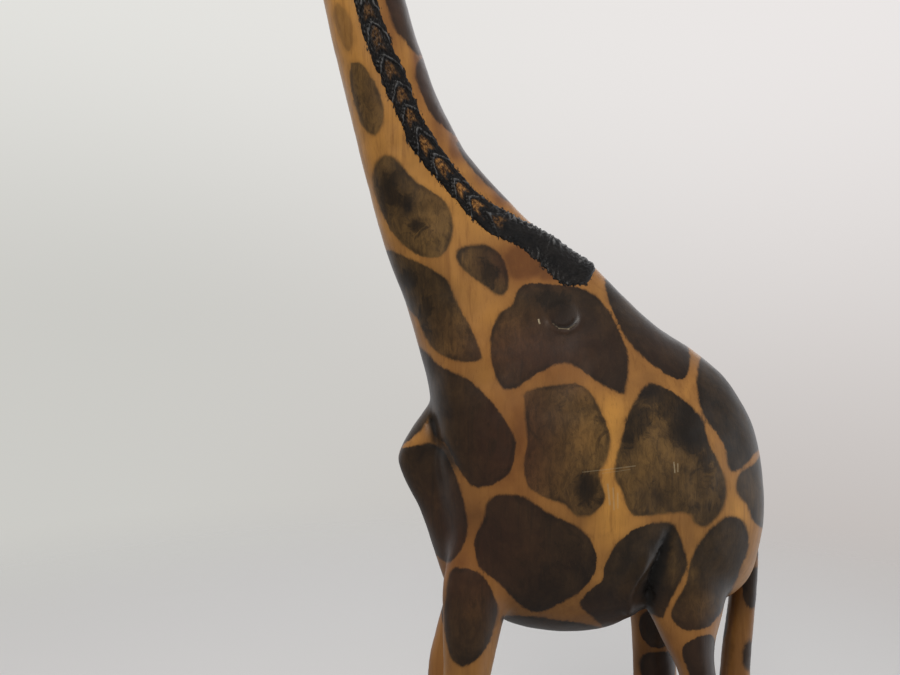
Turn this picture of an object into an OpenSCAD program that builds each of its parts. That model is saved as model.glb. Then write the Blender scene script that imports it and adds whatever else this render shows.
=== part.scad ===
// Carved wooden giraffe, standing, with its head turned to its own right.
// Millimetres, +Z up. The giraffe faces -X and its left side is -Y.
// The origin is on the ground, below the centre of the statue's outer box.

/* [Body] */
// Width of the barrel of the body
body_w = 110; // [104:1:116]
// Height of the glued joints between the body and the legs
joint_z = 330; // [327:1:333]
// Distance of each leg's centre from the middle plane
leg_y = 35; // [33:0.5:37]

/* [Head] */
// Angle by which the head is turned to the right, away from straight ahead
head_turn = 84; // [76:1:92]
// Angle by which the muzzle points below the horizontal
head_drop = 22; // [16:1:28]
// Length of an ear above the skull
ear_l = 58; // [50:1:64]
// Width of an ear
ear_w = 27; // [22:1:30]
// Length of a horn above the skull
horn_l = 38; // [30:1:40]
// Diameter of a horn
horn_d = 13; // [11:0.5:14]
// Diameter of an eye bead
eye_d = 9; // [8:0.5:10]

/* [Mane] */
// Half width of the carved mane at the withers
mane_w = 8.5; // [7:0.5:10]
// Height of the mane above the neck
mane_h = 3.5; // [2.5:0.5:4.5]

/* [Joints] */
// Diameter of the dowels in the leg joints
leg_dowel_d = 10; // [8:0.5:11]
// Length of the dowels in the leg joints
leg_dowel_l = 56; // [46:1:60]
// Diameter of the pegs of the ears
peg_d = 7; // [6:0.5:8]
// Depth to which the ears and horns go into the skull
peg_l = 12; // [10:1:13]
// Diameter of the dowel that holds the tail
tail_dowel_d = 7; // [6:0.5:8]
// Diameter of the plug that fills the knot hole
plug_d = 15; // [13:0.5:17]
// Glue gap all round a peg or dowel
glue = 0.1; // [0.05:0.05:0.2]

/* [Hidden] */
// Moves the middle of the body to its place beside the centre of the outer box.
shift = [19, -5.5, 0];
wood = "#c98d3c";
wood_end = "#d8b98a";
burnt = "#3b2a1c";
black = "#161412";
// Facets round each kind of section and round the turned pieces.
trunk_sides = 28;
leg_sides = 24;
tail_sides = 16;
dowel_sides = 32;
peg_sides = 24;
// Rings from one station to the next.
ring_steps = 2;
// How far a bore runs on past the surface it opens in.
bore_out = 20;
left = -1;
right = 1;

// ---------- lofting ----------
// A point on the smooth curve through four stations, between the middle two.
function spline(a, b, c, d, t) =
    0.5 * (2 * b + (c - a) * t + (2 * a - 5 * b + 4 * c - d) * t * t
           + (3 * b - a - 3 * c + d) * t * t * t);

// The station at a real-numbered place in the list.
function between(s, u) =
    let (last = len(s) - 1, i = min(floor(u), last - 1))
    spline(s[max(i - 1, 0)], s[i], s[i + 1], s[min(i + 2, last)], u - i);

// All the stations from one place in the list to another, in equal steps.
function smooth(s, steps, from, to) =
    [for (k = [from * steps : to * steps]) between(s, k / steps)];

// A closed solid through rings of points, with flat ends. Each ring turns right-handed
// about the direction in which the rings follow one another.
module loft(rings) {
    n = len(rings[0]);
    m = len(rings);
    walls = [for (j = [0 : m - 2]) for (i = [0 : n - 1])
        let (a = j * n + i, b = j * n + (i + 1) % n)
        each [[a, b + n, b], [a, a + n, b + n]]];
    first = [for (i = [0 : n - 1]) i];
    final = [for (i = [n - 1 : -1 : 0]) (m - 1) * n + i];
    polyhedron([for (r = rings) each r], concat([first], walls, [final]));
}

// ---------- body and neck ----------
// Each station: back x, z; front x, z; half width; y; how much narrower the back is than the belly.
trunk_stations = [
    [156, 424, 155, 400, 10, 0, 0],
    [155.5, 443.5, 153, 372, 26, 0, 0],
    [151.5, 464, 147, 352, 38, 0, 0.05],
    [138.5, 485.5, 134, 342, 46, 0, 0.1],
    [117, 504, 112, 341, 51, 0, 0.14],
    [95, 518.5, 88, 338, 53, 0, 0.17],
    [72, 539.5, 60, 325.5, 55, 0, 0.22],
    [54.5, 557.5, 28, 322.5, 54, 0, 0.28],
    [41, 567, -4, 330, 51, 0, 0.3],
    [30, 576, -26, 352, 47, 0, 0.3],
    [18.5, 582.5, -40, 382, 43, 0, 0.28],
    [9.5, 590, -47, 415, 40, 0, 0.24],
    [1.2, 598.4, -49, 445, 37, 0, 0.2],
    [-8, 608, -50, 472, 35, 0, 0.15],
    [-17, 618, -56.5, 500, 33, 0, 0.1],
    [-29, 633.5, -65.5, 531, 31, -1, 0.05],
    [-39, 652, -77, 562, 29, -3, 0],
    [-48.5, 672, -87.5, 598, 27.5, -5, 0],
    [-58, 700, -99, 645, 26.5, -7, 0],
    [-68, 735, -112, 698, 25.5, -9, 0],
    [-79, 773, -122.5, 748, 24.5, -11, 0],
    [-92, 822, -136, 806, 23.5, -13, 0],
    [-103, 875, -147, 868, 22.5, -15, 0],
    [-112, 915, -153, 914, 21, -16, 0],
    [-117, 944, -156, 944, 19.5, -16, 0],
    [-125, 958, -150, 958, 13, -16, 0]
];
trunk_last = len(trunk_stations) - 1;
// Width of the barrel in the stations above.
station_body_w = 110;

// The point of a station's ring at an angle from the back, raised by a height.
function trunk_point(s, a, up) =
    let (centre = [s[0] + s[2], s[1] + s[3]] / 2,
         half = [s[0] - s[2], s[1] - s[3]] / 2,
         r = norm(half),
         w = s[4] * body_w / station_body_w,
         along = half / r * ((r + up) * cos(a)))
    [centre[0] + along[0], s[5] + (w + up) * sin(a) * (1 - s[6] * cos(a)), centre[1] + along[1]];

module body_and_neck() {
    loft([for (s = smooth(trunk_stations, ring_steps, 0, trunk_last))
        [for (i = [0 : trunk_sides - 1]) trunk_point(s, 360 * i / trunk_sides, 0)]]);
}

// ---------- breast ----------
// Each station: z; front x; half width.
breast_stations = [
    [478, -41, 9],
    [468, -50, 15],
    [453, -61, 18.5],
    [440, -68.5, 18],
    [430, -71, 17],
    [418, -66.5, 18.5],
    [400, -57, 22],
    [380, -50, 23],
    [352, -41, 19]
];
breast_back = -6;
breast_last = len(breast_stations) - 1;

module breast() {
    loft([for (s = smooth(breast_stations, ring_steps, 0, breast_last)) [for (i = [0 : leg_sides - 1])
        let (a = -360 * i / leg_sides, middle = (s[1] + breast_back) / 2)
        [middle + (breast_back - s[1]) / 2 * cos(a), s[2] * sin(a), s[0]]]]);
}

// ---------- legs ----------
// Each station: z; front x; back x; half width; y of the centre.
fore_left = [
    [0, -47, -13, 14, leg_y],
    [19, -46, -15, 13.5, leg_y],
    [27, -41, -18, 11.5, leg_y],
    [36, -39, -19.5, 10, leg_y],
    [50, -40.5, -18.5, 10.5, leg_y],
    [72, -38.5, -20.5, 9, leg_y],
    [120, -39, -20, 9, leg_y],
    [150, -42, -17.5, 10.5, leg_y],
    [172, -43, -17, 11, leg_y],
    [200, -41, -17.5, 10.5, leg_y],
    [250, -41, -16.5, 11.5, leg_y],
    [292, -41, -15, 13, leg_y - 1],
    [joint_z, -41.5, -7, 15, leg_y - 3],
    [360, -42, 2, 16, leg_y - 6],
    [392, -35, 7, 12, leg_y - 10],
    [418, -26, 5, 5, leg_y - 14]
];
fore_right = [
    [0, -60, -26, 14, leg_y],
    [19, -59, -28, 13.5, leg_y],
    [27, -54, -31, 11.5, leg_y],
    [36, -52, -32.5, 10, leg_y],
    [50, -53.5, -31.5, 10.5, leg_y],
    [72, -51.5, -33.5, 9, leg_y],
    [120, -52, -33, 9, leg_y],
    [150, -55, -30.5, 10.5, leg_y],
    [172, -56, -30, 11, leg_y],
    [200, -54, -30, 10.5, leg_y],
    [250, -54, -28, 11.5, leg_y],
    [288, -51, -20, 13, leg_y - 1],
    [joint_z, -41, -8, 15, leg_y - 3],
    [360, -40, 2, 16, leg_y - 6],
    [392, -35, 7, 12, leg_y - 10],
    [418, -26, 5, 5, leg_y - 14]
];
hind_left = [
    [0, 107, 141, 14, leg_y],
    [19, 109, 140, 13.5, leg_y],
    [27, 114, 137, 11.5, leg_y],
    [36, 117, 136, 10, leg_y],
    [50, 116, 138, 10.5, leg_y],
    [72, 119, 137, 9, leg_y],
    [120, 118, 136, 9, leg_y],
    [170, 114, 135, 10, leg_y],
    [205, 111, 137, 11, leg_y],
    [240, 109, 131, 11, leg_y],
    [285, 106, 128, 12, leg_y - 1],
    [310, 100, 122, 13.5, leg_y - 2],
    [joint_z, 90, 123, 16, leg_y - 4],
    [356, 80, 131, 17, leg_y - 6],
    [388, 84, 135, 13, leg_y - 9],
    [416, 95, 126, 5, leg_y - 12]
];
hind_right = [
    [0, 81, 115, 14, leg_y],
    [19, 83, 114, 13.5, leg_y],
    [27, 88, 111, 11.5, leg_y],
    [36, 91, 110, 10, leg_y],
    [50, 90, 112, 10.5, leg_y],
    [72, 93, 111, 9, leg_y],
    [120, 92, 111, 9, leg_y],
    [170, 91, 114, 10, leg_y],
    [205, 90, 119, 11, leg_y],
    [240, 91, 120, 11, leg_y],
    [272, 91, 121, 12, leg_y - 1],
    [302, 90, 119, 14, leg_y - 2],
    [joint_z, 87, 123, 16, leg_y - 4],
    [356, 80, 131, 17, leg_y - 6],
    [388, 84, 135, 13, leg_y - 9],
    [416, 95, 126, 5, leg_y - 12]
];
joint_station = 12;
leg_last = len(fore_left) - 1;

module leg_loft(stations, side, from, to) {
    loft([for (s = smooth(stations, ring_steps, from, to)) [for (i = [0 : leg_sides - 1])
        let (a = 360 * i / leg_sides, middle = (s[1] + s[2]) / 2)
        [middle + (s[2] - s[1]) / 2 * cos(a), side * s[4] + s[3] * sin(a), s[0]]]]);
}

module upper_leg(stations, side) {
    leg_loft(stations, side, joint_station, leg_last);
}

// The dowels stand upright in the joints, half in the body and half in the leg.
fore_left_dowel = [-27, -(leg_y - 3), joint_z];
fore_right_dowel = [-29, leg_y - 3, joint_z];
hind_left_dowel = [110, -(leg_y - 4), joint_z];
hind_right_dowel = [105, leg_y - 4, joint_z];
dowel_end_gap = 1;

module leg_dowel(place) {
    translate(place) cylinder(h = leg_dowel_l, d = leg_dowel_d, center = true, $fn = dowel_sides);
}

module leg_socket(place) {
    depth = leg_dowel_l + 2 * dowel_end_gap;
    translate(place) cylinder(h = depth, d = leg_dowel_d + 2 * glue, center = true, $fn = dowel_sides);
}

module leg(stations, side, dowel_place) {
    difference() {
        leg_loft(stations, side, 0, joint_station);
        leg_socket(dowel_place);
    }
}

// ---------- tail ----------
// Each station: z; front x; back x; half width; y.
tail_stations = [
    [402, 147, 158, 7, 0],
    [388, 147, 161, 8, 0],
    [362, 147, 162, 8, 0],
    [335, 144.5, 160, 8, 0],
    [312, 141, 157.5, 8.5, -1],
    [288, 138.5, 155.5, 9, -2],
    [262, 137, 154, 9, -3],
    [242, 138, 153, 8, -3],
    [222, 135, 156, 10.5, -3],
    [200, 137, 155, 9.5, -3],
    [182, 143, 150, 4, -3]
];
tail_last = len(tail_stations) - 1;
// How square the tail's section is: 1 is an oval, 0 a box.
tail_oval = 0.7;
// The flat seat cut for the head of the tail: front x; width; height. It is open to the rear.
tail_seat = [147, 17.6, 62];
tail_seat_z = 342;
tail_seat_l = 40;
tail_dowel_z = 378;
tail_dowel_l = 30;
tail_dowel_in_tail = 10;
tail_dowel_end_gap = 0.5;

module tail_dowel_shape(extra_d, extra_l) {
    reach = tail_dowel_l + 2 * extra_l;
    translate([tail_seat[0] + tail_dowel_in_tail + extra_l, 0, tail_dowel_z])
        rotate([0, -90, 0]) cylinder(h = reach, d = tail_dowel_d + 2 * extra_d, $fn = peg_sides);
}

// A cosine or sine pushed outward, towards the corners of a box.
function squared(v) = sign(v) * pow(abs(v), tail_oval);

// Rounded box sections; the head of the tail has a flat front that lies in its seat.
module tail_shape() {
    difference() {
        loft([for (s = smooth(tail_stations, ring_steps, 0, tail_last)) [for (i = [0 : tail_sides - 1])
            let (a = -360 * i / tail_sides, middle = (s[1] + s[2]) / 2)
            [middle + (s[2] - s[1]) / 2 * squared(cos(a)), s[4] + s[3] * squared(sin(a)), s[0]]]]);
        tail_dowel_shape(glue, tail_dowel_end_gap);
    }
}

// ---------- head ----------
// Each station, along the head: x; top z; bottom z; half width.
head_stations = [
    [-27, 4, -8, 5],
    [-24, 13, -17, 13],
    [-14, 19, -25, 18.5],
    [0, 21, -27, 20.5],
    [14, 19, -25, 20.5],
    [28, 14, -22, 18.5],
    [44, 8, -19, 15.5],
    [60, 4, -18, 13],
    [74, 3, -18, 13],
    [84, 1, -17, 12],
    [91, -4, -13, 7.5]
];
head_last = len(head_stations) - 1;
head_place = [-138, -15, 944];

module in_head() {
    translate(head_place) rotate([0, head_drop, 180 - head_turn]) children();
}

module skull() {
    loft([for (s = smooth(head_stations, ring_steps, 0, head_last)) [for (i = [0 : leg_sides - 1])
        let (a = 360 * i / leg_sides, middle = (s[1] + s[2]) / 2)
        [s[0], s[3] * cos(a), middle + (s[1] - s[2]) / 2 * sin(a)]]]);
}

horn_place = [-3, 9.7, 18];
horn_lean = -26;
horn_splay = 4;
ear_place = [-12, 18.5, 11];
ear_lean = -38;
ear_splay = 54;
eye_place = [25, 17.2, 3];
eye_yaw = 12;
eye_depth = 5;

module at_horn(side) {
    translate([horn_place[0], -side * horn_place[1], horn_place[2]])
        rotate([side * horn_splay, horn_lean, 0]) children();
}

module at_ear(side) {
    translate([ear_place[0], -side * ear_place[1], ear_place[2]])
        rotate([side * ear_splay, ear_lean, 0]) children();
}

module at_eye(side) {
    translate([eye_place[0], -side * eye_place[1], eye_place[2]])
        rotate([side * 90, 0, 0]) rotate([0, eye_yaw, 0]) children();
}

module peg(extra_d, extra_l) {
    translate([0, 0, -peg_l - extra_l])
        cylinder(h = peg_l + extra_l, d = peg_d + 2 * extra_d, $fn = peg_sides);
}

// A bore of a given depth below the skin, for a piece of a given diameter.
module bore(depth, d, sides) {
    translate([0, 0, -depth - end_gap]) cylinder(h = depth + bore_out, d = d + 2 * glue, $fn = sides);
}

// ---------- horns, ears, eyes, plug ----------
// Gap below the ends of the horns, ears, eyes and plug.
end_gap = 0.5;
// Each point, as shares of the horn's radius and length: radius; height.
horn_profile = [[1, 0.12], [0.86, 0.45], [0.9, 0.7], [1.05, 0.86], [0.95, 0.96], [0.6, 1]];

module horn_shape() {
    r = horn_d / 2;
    profile = [for (q = horn_profile) [q[0] * r, q[1] * horn_l]];
    rotate_extrude($fn = dowel_sides) polygon(concat([[0, -peg_l], [r, -peg_l]], profile, [[0, horn_l]]));
}

// Each station, as shares of the ear's length and width: height; half width; thickness; dish.
ear_stations = [
    [0, 0.13, 0.13, 0],
    [0.12, 0.26, 0.19, 0.1],
    [0.3, 0.43, 0.19, 0.5],
    [0.5, 0.5, 0.17, 0.7],
    [0.7, 0.46, 0.15, 0.7],
    [0.87, 0.32, 0.12, 0.5],
    [0.97, 0.16, 0.09, 0.2],
    [1, 0.05, 0.05, 0]
];
ear_last = len(ear_stations) - 1;
// How deep the dish of the ear is.
ear_hollow = 1.6;

// The dished face looks along -Y of the ear's own frame.
module ear_shape(face) {
    loft([for (s = smooth(ear_stations, ring_steps, 0, ear_last)) [for (i = [0 : tail_sides - 1])
        let (a = face * 360 * i / tail_sides, t = s[2] * ear_w, dish = 1 - ear_hollow * s[3] * abs(sin(a)))
        [s[1] * ear_w * cos(a), face * t * sin(a) * (sin(a) > 0 ? 1 : dish), s[0] * ear_l]]]);
    peg(0, 0);
}

// Each point, as shares of the eye's radius: radius; height.
eye_profile = [[1, 0.18], [0.87, 0.42], [0.62, 0.62], [0.32, 0.73], [0, 0.77]];

module eye_shape() {
    r = eye_d / 2;
    rotate_extrude($fn = dowel_sides) polygon(concat([[0, -eye_depth], [r, -eye_depth]], r * eye_profile));
}

plug_place = [31.5, -30.5, 523];
plug_turn = [64, 0, 4];
plug_depth = 14;
plug_proud = 0.4;

module at_plug() {
    translate(plug_place) rotate(plug_turn) children();
}

module plug_shape() {
    translate([0, 0, -plug_depth]) cylinder(h = plug_depth + plug_proud, d = plug_d, $fn = dowel_sides);
}

// ---------- mane ----------
// Heights up the back of the neck at which the mane starts and ends.
mane_from = 558;
mane_to = 946;
tufts = 27;
// Each station: height up the back of the neck; angle round the neck; share of the full width.
mane_stations = [
    [558, -27, 0.3],
    [563, -28, 0.8],
    [572, -31, 1],
    [588, -37, 1],
    [617, -52, 0.95],
    [650, -63, 0.9],
    [680, -69, 0.82],
    [715, -78, 0.75],
    [752, -86, 0.68],
    [800, -89, 0.62],
    [946, -89, 0.58]
];

// The place in the trunk's stations at a height up the back.
function trunk_place(z) = lookup(z, [for (i = [0 : trunk_last]) [trunk_stations[i][1], i]]);

// Where each tuft reaches its full height and steps down, as a share of its length.
tuft_top = 0.8;
// How much of the mane's height is left at the foot of a tuft.
tuft_foot = 0.35;
// The tufts get longer towards the head: the spacing is this share even, the rest growing.
tuft_even = 0.7;
// The section across the mane: share of the half width; share of the height; height added.
mane_section = [
    [1, 0, -3], [-1, 0, -3], [-1.05, 0, 0.2], [-0.7, 0.8, 0], [0, 1, 0], [0.7, 0.8, 0], [1.05, 0, 0.2]
];

// A ridge of tufts, each one rising and then stepping down to the next.
module mane() {
    rise = mane_to - mane_from;
    heights = [for (k = [0 : tufts - 1]) for (f = [0, tuft_top])
        let (t = (k + f) / tufts) mane_from + rise * (tuft_even * t + (1 - tuft_even) * t * t)];
    loft([for (j = [0 : len(heights) - 1])
        let (z = heights[j],
             s = between(trunk_stations, trunk_place(z)),
             middle = lookup(z, [for (q = mane_stations) [q[0], q[1]]]),
             half = mane_w * lookup(z, [for (q = mane_stations) [q[0], q[2]]]),
             r = norm([s[0] - s[2], s[1] - s[3]]) / 2,
             spread = half / norm([r * sin(middle), s[4] * cos(middle)]) * 180 / PI,
             up = mane_h * (j % 2 == 0 ? 1 : tuft_foot))
        [for (q = mane_section) trunk_point(s, middle + q[0] * spread, up * q[1] + q[2])]]);
}

// ---------- the pieces ----------
// Everything carved from the one log: body, neck, head, mane and the tops of the legs.
module trunk() {
    color(wood) translate(shift) difference() {
        union() {
            body_and_neck();
            breast();
            upper_leg(fore_left, left);
            upper_leg(fore_right, right);
            upper_leg(hind_left, left);
            upper_leg(hind_right, right);
            in_head() skull();
            mane();
        }
        leg_socket(fore_left_dowel);
        leg_socket(fore_right_dowel);
        leg_socket(hind_left_dowel);
        leg_socket(hind_right_dowel);
        tail_dowel_shape(glue, tail_dowel_end_gap);
        translate([tail_seat[0], -tail_seat[1] / 2, tail_seat_z])
            cube([tail_seat_l, tail_seat[1], tail_seat[2]]);
        in_head() for (side = [left, right]) {
            at_horn(side) bore(peg_l, horn_d, dowel_sides);
            at_ear(side) bore(peg_l, peg_d, peg_sides);
            at_eye(side) bore(eye_depth, eye_d, dowel_sides);
        }
        at_plug() bore(plug_depth, plug_d, dowel_sides);
    }
}

module leg_fore_left() {
    color(wood) translate(shift) leg(fore_left, left, fore_left_dowel);
}

module leg_fore_right() {
    color(wood) translate(shift) leg(fore_right, right, fore_right_dowel);
}

module leg_hind_left() {
    color(wood) translate(shift) leg(hind_left, left, hind_left_dowel);
}

module leg_hind_right() {
    color(wood) translate(shift) leg(hind_right, right, hind_right_dowel);
}

module dowel_fore_left() {
    color(wood_end) translate(shift) leg_dowel(fore_left_dowel);
}

module dowel_fore_right() {
    color(wood_end) translate(shift) leg_dowel(fore_right_dowel);
}

module dowel_hind_left() {
    color(wood_end) translate(shift) leg_dowel(hind_left_dowel);
}

module dowel_hind_right() {
    color(wood_end) translate(shift) leg_dowel(hind_right_dowel);
}

module tail() {
    color(wood) translate(shift) tail_shape();
}

module tail_dowel() {
    color(wood_end) translate(shift) tail_dowel_shape(0, 0);
}

module ear_left() {
    color(wood) translate(shift) in_head() at_ear(left) ear_shape(1);
}

module ear_right() {
    color(wood) translate(shift) in_head() at_ear(right) ear_shape(-1);
}

module horn_left() {
    color(black) translate(shift) in_head() at_horn(left) horn_shape();
}

module horn_right() {
    color(black) translate(shift) in_head() at_horn(right) horn_shape();
}

module eye_left() {
    color(black) translate(shift) in_head() at_eye(left) eye_shape();
}

module eye_right() {
    color(black) translate(shift) in_head() at_eye(right) eye_shape();
}

module knot_plug() {
    color(burnt) translate(shift) at_plug() plug_shape();
}

trunk();
leg_fore_left();
leg_fore_right();
leg_hind_left();
leg_hind_right();
dowel_fore_left();
dowel_fore_right();
dowel_hind_left();
dowel_hind_right();
tail();
tail_dowel();
ear_left();
ear_right();
horn_left();
horn_right();
eye_left();
eye_right();
knot_plug();
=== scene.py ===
import math

import bmesh
import bpy
import numpy as np
from mathutils import Matrix, Vector, noise
from mathutils.bvhtree import BVHTree


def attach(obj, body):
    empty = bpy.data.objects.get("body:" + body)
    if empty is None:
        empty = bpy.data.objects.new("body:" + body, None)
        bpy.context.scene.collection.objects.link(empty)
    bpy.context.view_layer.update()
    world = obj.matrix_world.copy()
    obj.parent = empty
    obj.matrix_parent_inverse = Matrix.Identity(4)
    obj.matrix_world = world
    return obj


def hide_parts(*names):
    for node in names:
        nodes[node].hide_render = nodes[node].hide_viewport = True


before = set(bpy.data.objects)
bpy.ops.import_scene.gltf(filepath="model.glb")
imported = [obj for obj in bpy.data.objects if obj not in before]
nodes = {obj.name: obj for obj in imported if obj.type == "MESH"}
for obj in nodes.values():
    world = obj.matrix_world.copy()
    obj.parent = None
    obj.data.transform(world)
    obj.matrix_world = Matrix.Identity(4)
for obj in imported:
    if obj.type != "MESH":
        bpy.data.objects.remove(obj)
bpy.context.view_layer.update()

MM = 0.001
# The middle of the body stands here in the frame (mm); all numbers below are measured from it.
SHIFT = np.array([19.0, -5.5, 0.0])
# The point the statue is looked at from (mm): the markings are laid out as seen from here.
EYE = np.array([-37.0, -455.0, 510.0])
# Height of the glued leg joints (mm).
JOINT_Z = 330.0
# Rings lofted between one station and the next.
RINGS_EACH = 8
# Size of the grid that fuses the lofts into one skin (mm): the body, the tail, the ears.
BODY_GRID, TAIL_GRID, EAR_GRID = 1.72, 0.9, 0.7
# The neck's own ovals lie between these heights, and the head above the last (mm).
NECK_FROM, NECK_TO, HEAD_FROM = 640, 930, 885
# The fore legs stand in front of this x, the hind legs behind it (mm).
LEGS_PART_AT = 40
# What a map of distances holds where no outline is near (mm).
FAR_OFF, NO_SPOT = -14.0, -12.0


# ------------------------------ lofting
def between(a, b, c, d, t):
    """The Catmull-Rom curve from b to c, at t from 0 to 1."""
    return 0.5 * (2 * b + (c - a) * t + (2 * a - 5 * b + 4 * c - d) * t * t
                  + (3 * b - a - 3 * c + d) * t ** 3)


def spline(rows, steps):
    """A smooth curve through rows of numbers."""
    s = np.array(rows, float)
    last = len(s) - 1
    out = [between(s[max(i - 1, 0)], s[i], s[i + 1], s[min(i + 2, last)], k / steps)
           for i in range(last) for k in range(steps)]
    return np.array(out + [s[-1]])


def closed_spline(points, steps=6):
    """A smooth closed curve through points."""
    p = np.array(points, float)
    n = len(p)
    t = (np.arange(steps) / steps)[:, None]
    fours = [(p[(i - 1) % n], p[i], p[(i + 1) % n], p[(i + 2) % n]) for i in range(n)]
    return np.concatenate([between(*four, t) for four in fours])


def around(count):
    """Angles round a full turn."""
    return np.linspace(0, 2 * math.pi, count, endpoint=False)


def bell(distance, width):
    return np.exp(-(distance / width) ** 2)


def loft_faces(rings, count, offset):
    faces = []
    for j in range(rings - 1):
        for i in range(count):
            a, b = j * count + i, j * count + (i + 1) % count
            faces.append((offset + a, offset + b, offset + b + count, offset + a + count))
    faces.append(tuple(offset + i for i in reversed(range(count))))
    faces.append(tuple(offset + (rings - 1) * count + i for i in range(count)))
    return faces


class Shell:
    """Collects closed lofts that overlap, to be fused into one skin."""

    def __init__(self):
        self.verts, self.faces, self.total = [], [], 0

    def add(self, rings):
        rings = np.asarray(rings)
        m, n, _ = rings.shape
        self.faces += loft_faces(m, n, self.total)
        self.verts.append(rings.reshape(-1, 3))
        self.total += m * n

    def mesh(self, name):
        me = bpy.data.meshes.new(name)
        me.from_pydata((np.concatenate(self.verts) * MM).tolist(), [], self.faces)
        me.update()
        return me


def new_object(name, me):
    o = bpy.data.objects.new(name, me)
    bpy.context.scene.collection.objects.link(o)
    return o


def fused(shell, name, voxel):
    """One skin round all the overlapping lofts of a shell."""
    o = new_object(name, shell.mesh(name))
    mod = o.modifiers.new("fuse", "REMESH")
    mod.mode = "VOXEL"
    mod.voxel_size = voxel * MM
    mod.adaptivity = 0
    dg = bpy.context.evaluated_depsgraph_get()
    me = bpy.data.meshes.new_from_object(o.evaluated_get(dg))
    old = o.data
    o.modifiers.clear()
    o.data = me
    bpy.data.meshes.remove(old)
    return o


def coords(me):
    v = np.empty(len(me.vertices) * 3)
    me.vertices.foreach_get("co", v)
    return v.reshape(-1, 3) / MM


def set_coords(me, v):
    me.vertices.foreach_set("co", (np.asarray(v) * MM).ravel())
    me.update()


def normals(me):
    n = np.empty(len(me.vertices) * 3)
    me.vertices.foreach_get("normal", n)
    return n.reshape(-1, 3)


def edges_of(me):
    e = np.empty(len(me.edges) * 2, dtype=np.int64)
    me.edges.foreach_get("vertices", e)
    return e.reshape(-1, 2)


def relax(v, e, rounds, weight, factor=0.5):
    """Smooths v along the edges; each vertex moves by its own weight."""
    n = len(v)
    deg = np.bincount(e.ravel(), minlength=n).astype(float)[:, None]
    deg[deg == 0] = 1
    w = factor * np.asarray(weight).reshape(-1, 1)
    for _ in range(rounds):
        s = np.stack([np.bincount(e[:, 0], v[e[:, 1], k], n) + np.bincount(e[:, 1], v[e[:, 0], k], n)
                      for k in range(v.shape[1])], 1)
        v = v + w * (s / deg - v)
    return v


def smoothstep(a, b, x):
    t = np.clip((x - a) / (b - a), 0, 1)
    return t * t * (3 - 2 * t)


def add_attr(me, name, values):
    a = me.attributes.get(name) or me.attributes.new(name, "FLOAT", "POINT")
    a.data.foreach_set("value", np.asarray(values, dtype=np.float32))


def smooth_shade(me):
    me.polygons.foreach_set("use_smooth", [True] * len(me.polygons))


# ------------------------------ the carving's shape (mm)
# back x, z; front x, z; half width; y; how much narrower the back is than the belly
TRUNK = [
    [156, 424, 155, 400, 10, 0, 0], [155.5, 443.5, 153, 372, 26, 0, 0],
    [151.5, 464, 147, 352, 38, 0, 0.05], [138.5, 485.5, 134, 342, 46, 0, 0.1],
    [117, 504, 112, 341, 51, 0, 0.14], [95, 518.5, 88, 338, 53, 0, 0.17],
    [72, 539.5, 60, 325.5, 55, 0, 0.22], [54.5, 557.5, 28, 322.5, 54, 0, 0.28],
    [41, 567, -4, 330, 51, 0, 0.3], [30, 576, -26, 352, 47, 0, 0.3], [18.5, 582.5, -40, 382, 43, 0, 0.28],
    [9.5, 590, -47, 415, 40, 0, 0.24], [1.2, 598.4, -49, 445, 37, 0, 0.2],
    [-8, 608, -50, 472, 35, 0, 0.15], [-17, 618, -56.5, 500, 33, 0, 0.1],
    [-29, 633.5, -65.5, 531, 31, -1, 0.05], [-39, 652, -77, 562, 29, -3, 0],
    [-48.5, 672, -87.5, 598, 27.5, -5, 0], [-58, 700, -99, 645, 26.5, -7, 0],
    [-68, 735, -112, 698, 25.5, -9, 0], [-79, 773, -122.5, 748, 24.5, -11, 0],
    [-92, 822, -136, 806, 23.5, -13, 0], [-103, 875, -147, 868, 22.5, -15, 0],
    [-112, 915, -153, 914, 21, -16, 0], [-117, 944, -156, 944, 19.5, -16, 0],
    [-125, 958, -150, 958, 13, -16, 0]]
# z; front x; half width
BREAST = [
    [478, -41, 9], [468, -50, 15], [453, -61, 18.5], [440, -68.5, 18], [430, -71, 17], [418, -66.5, 18.5],
    [400, -57, 22], [380, -50, 23], [352, -41, 19]]
# z; front x; back x; half width; y of the centre
FORE_LEFT = [
    [0, -47, -13, 14, 35], [19, -46, -15, 13.5, 35], [27, -41, -18, 11.5, 35], [36, -39, -19.5, 10, 35],
    [50, -40.5, -18.5, 10.5, 35], [72, -38.5, -20.5, 9, 35], [120, -39, -20, 9, 35],
    [150, -42, -17.5, 10.5, 35], [172, -43, -17, 11, 35], [200, -41, -17.5, 10.5, 35],
    [250, -41, -16.5, 11.5, 35], [292, -41, -15, 13, 34], [330, -41.5, -7, 15, 32], [360, -42, 2, 16, 29],
    [392, -35, 7, 12, 25], [418, -26, 5, 5, 21]]


def moved(rows, top, by):
    """The rows up to a height, moved along x."""
    return [[z, front + by, back + by, half, y] for z, front, back, half, y in rows if z <= top]


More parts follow.
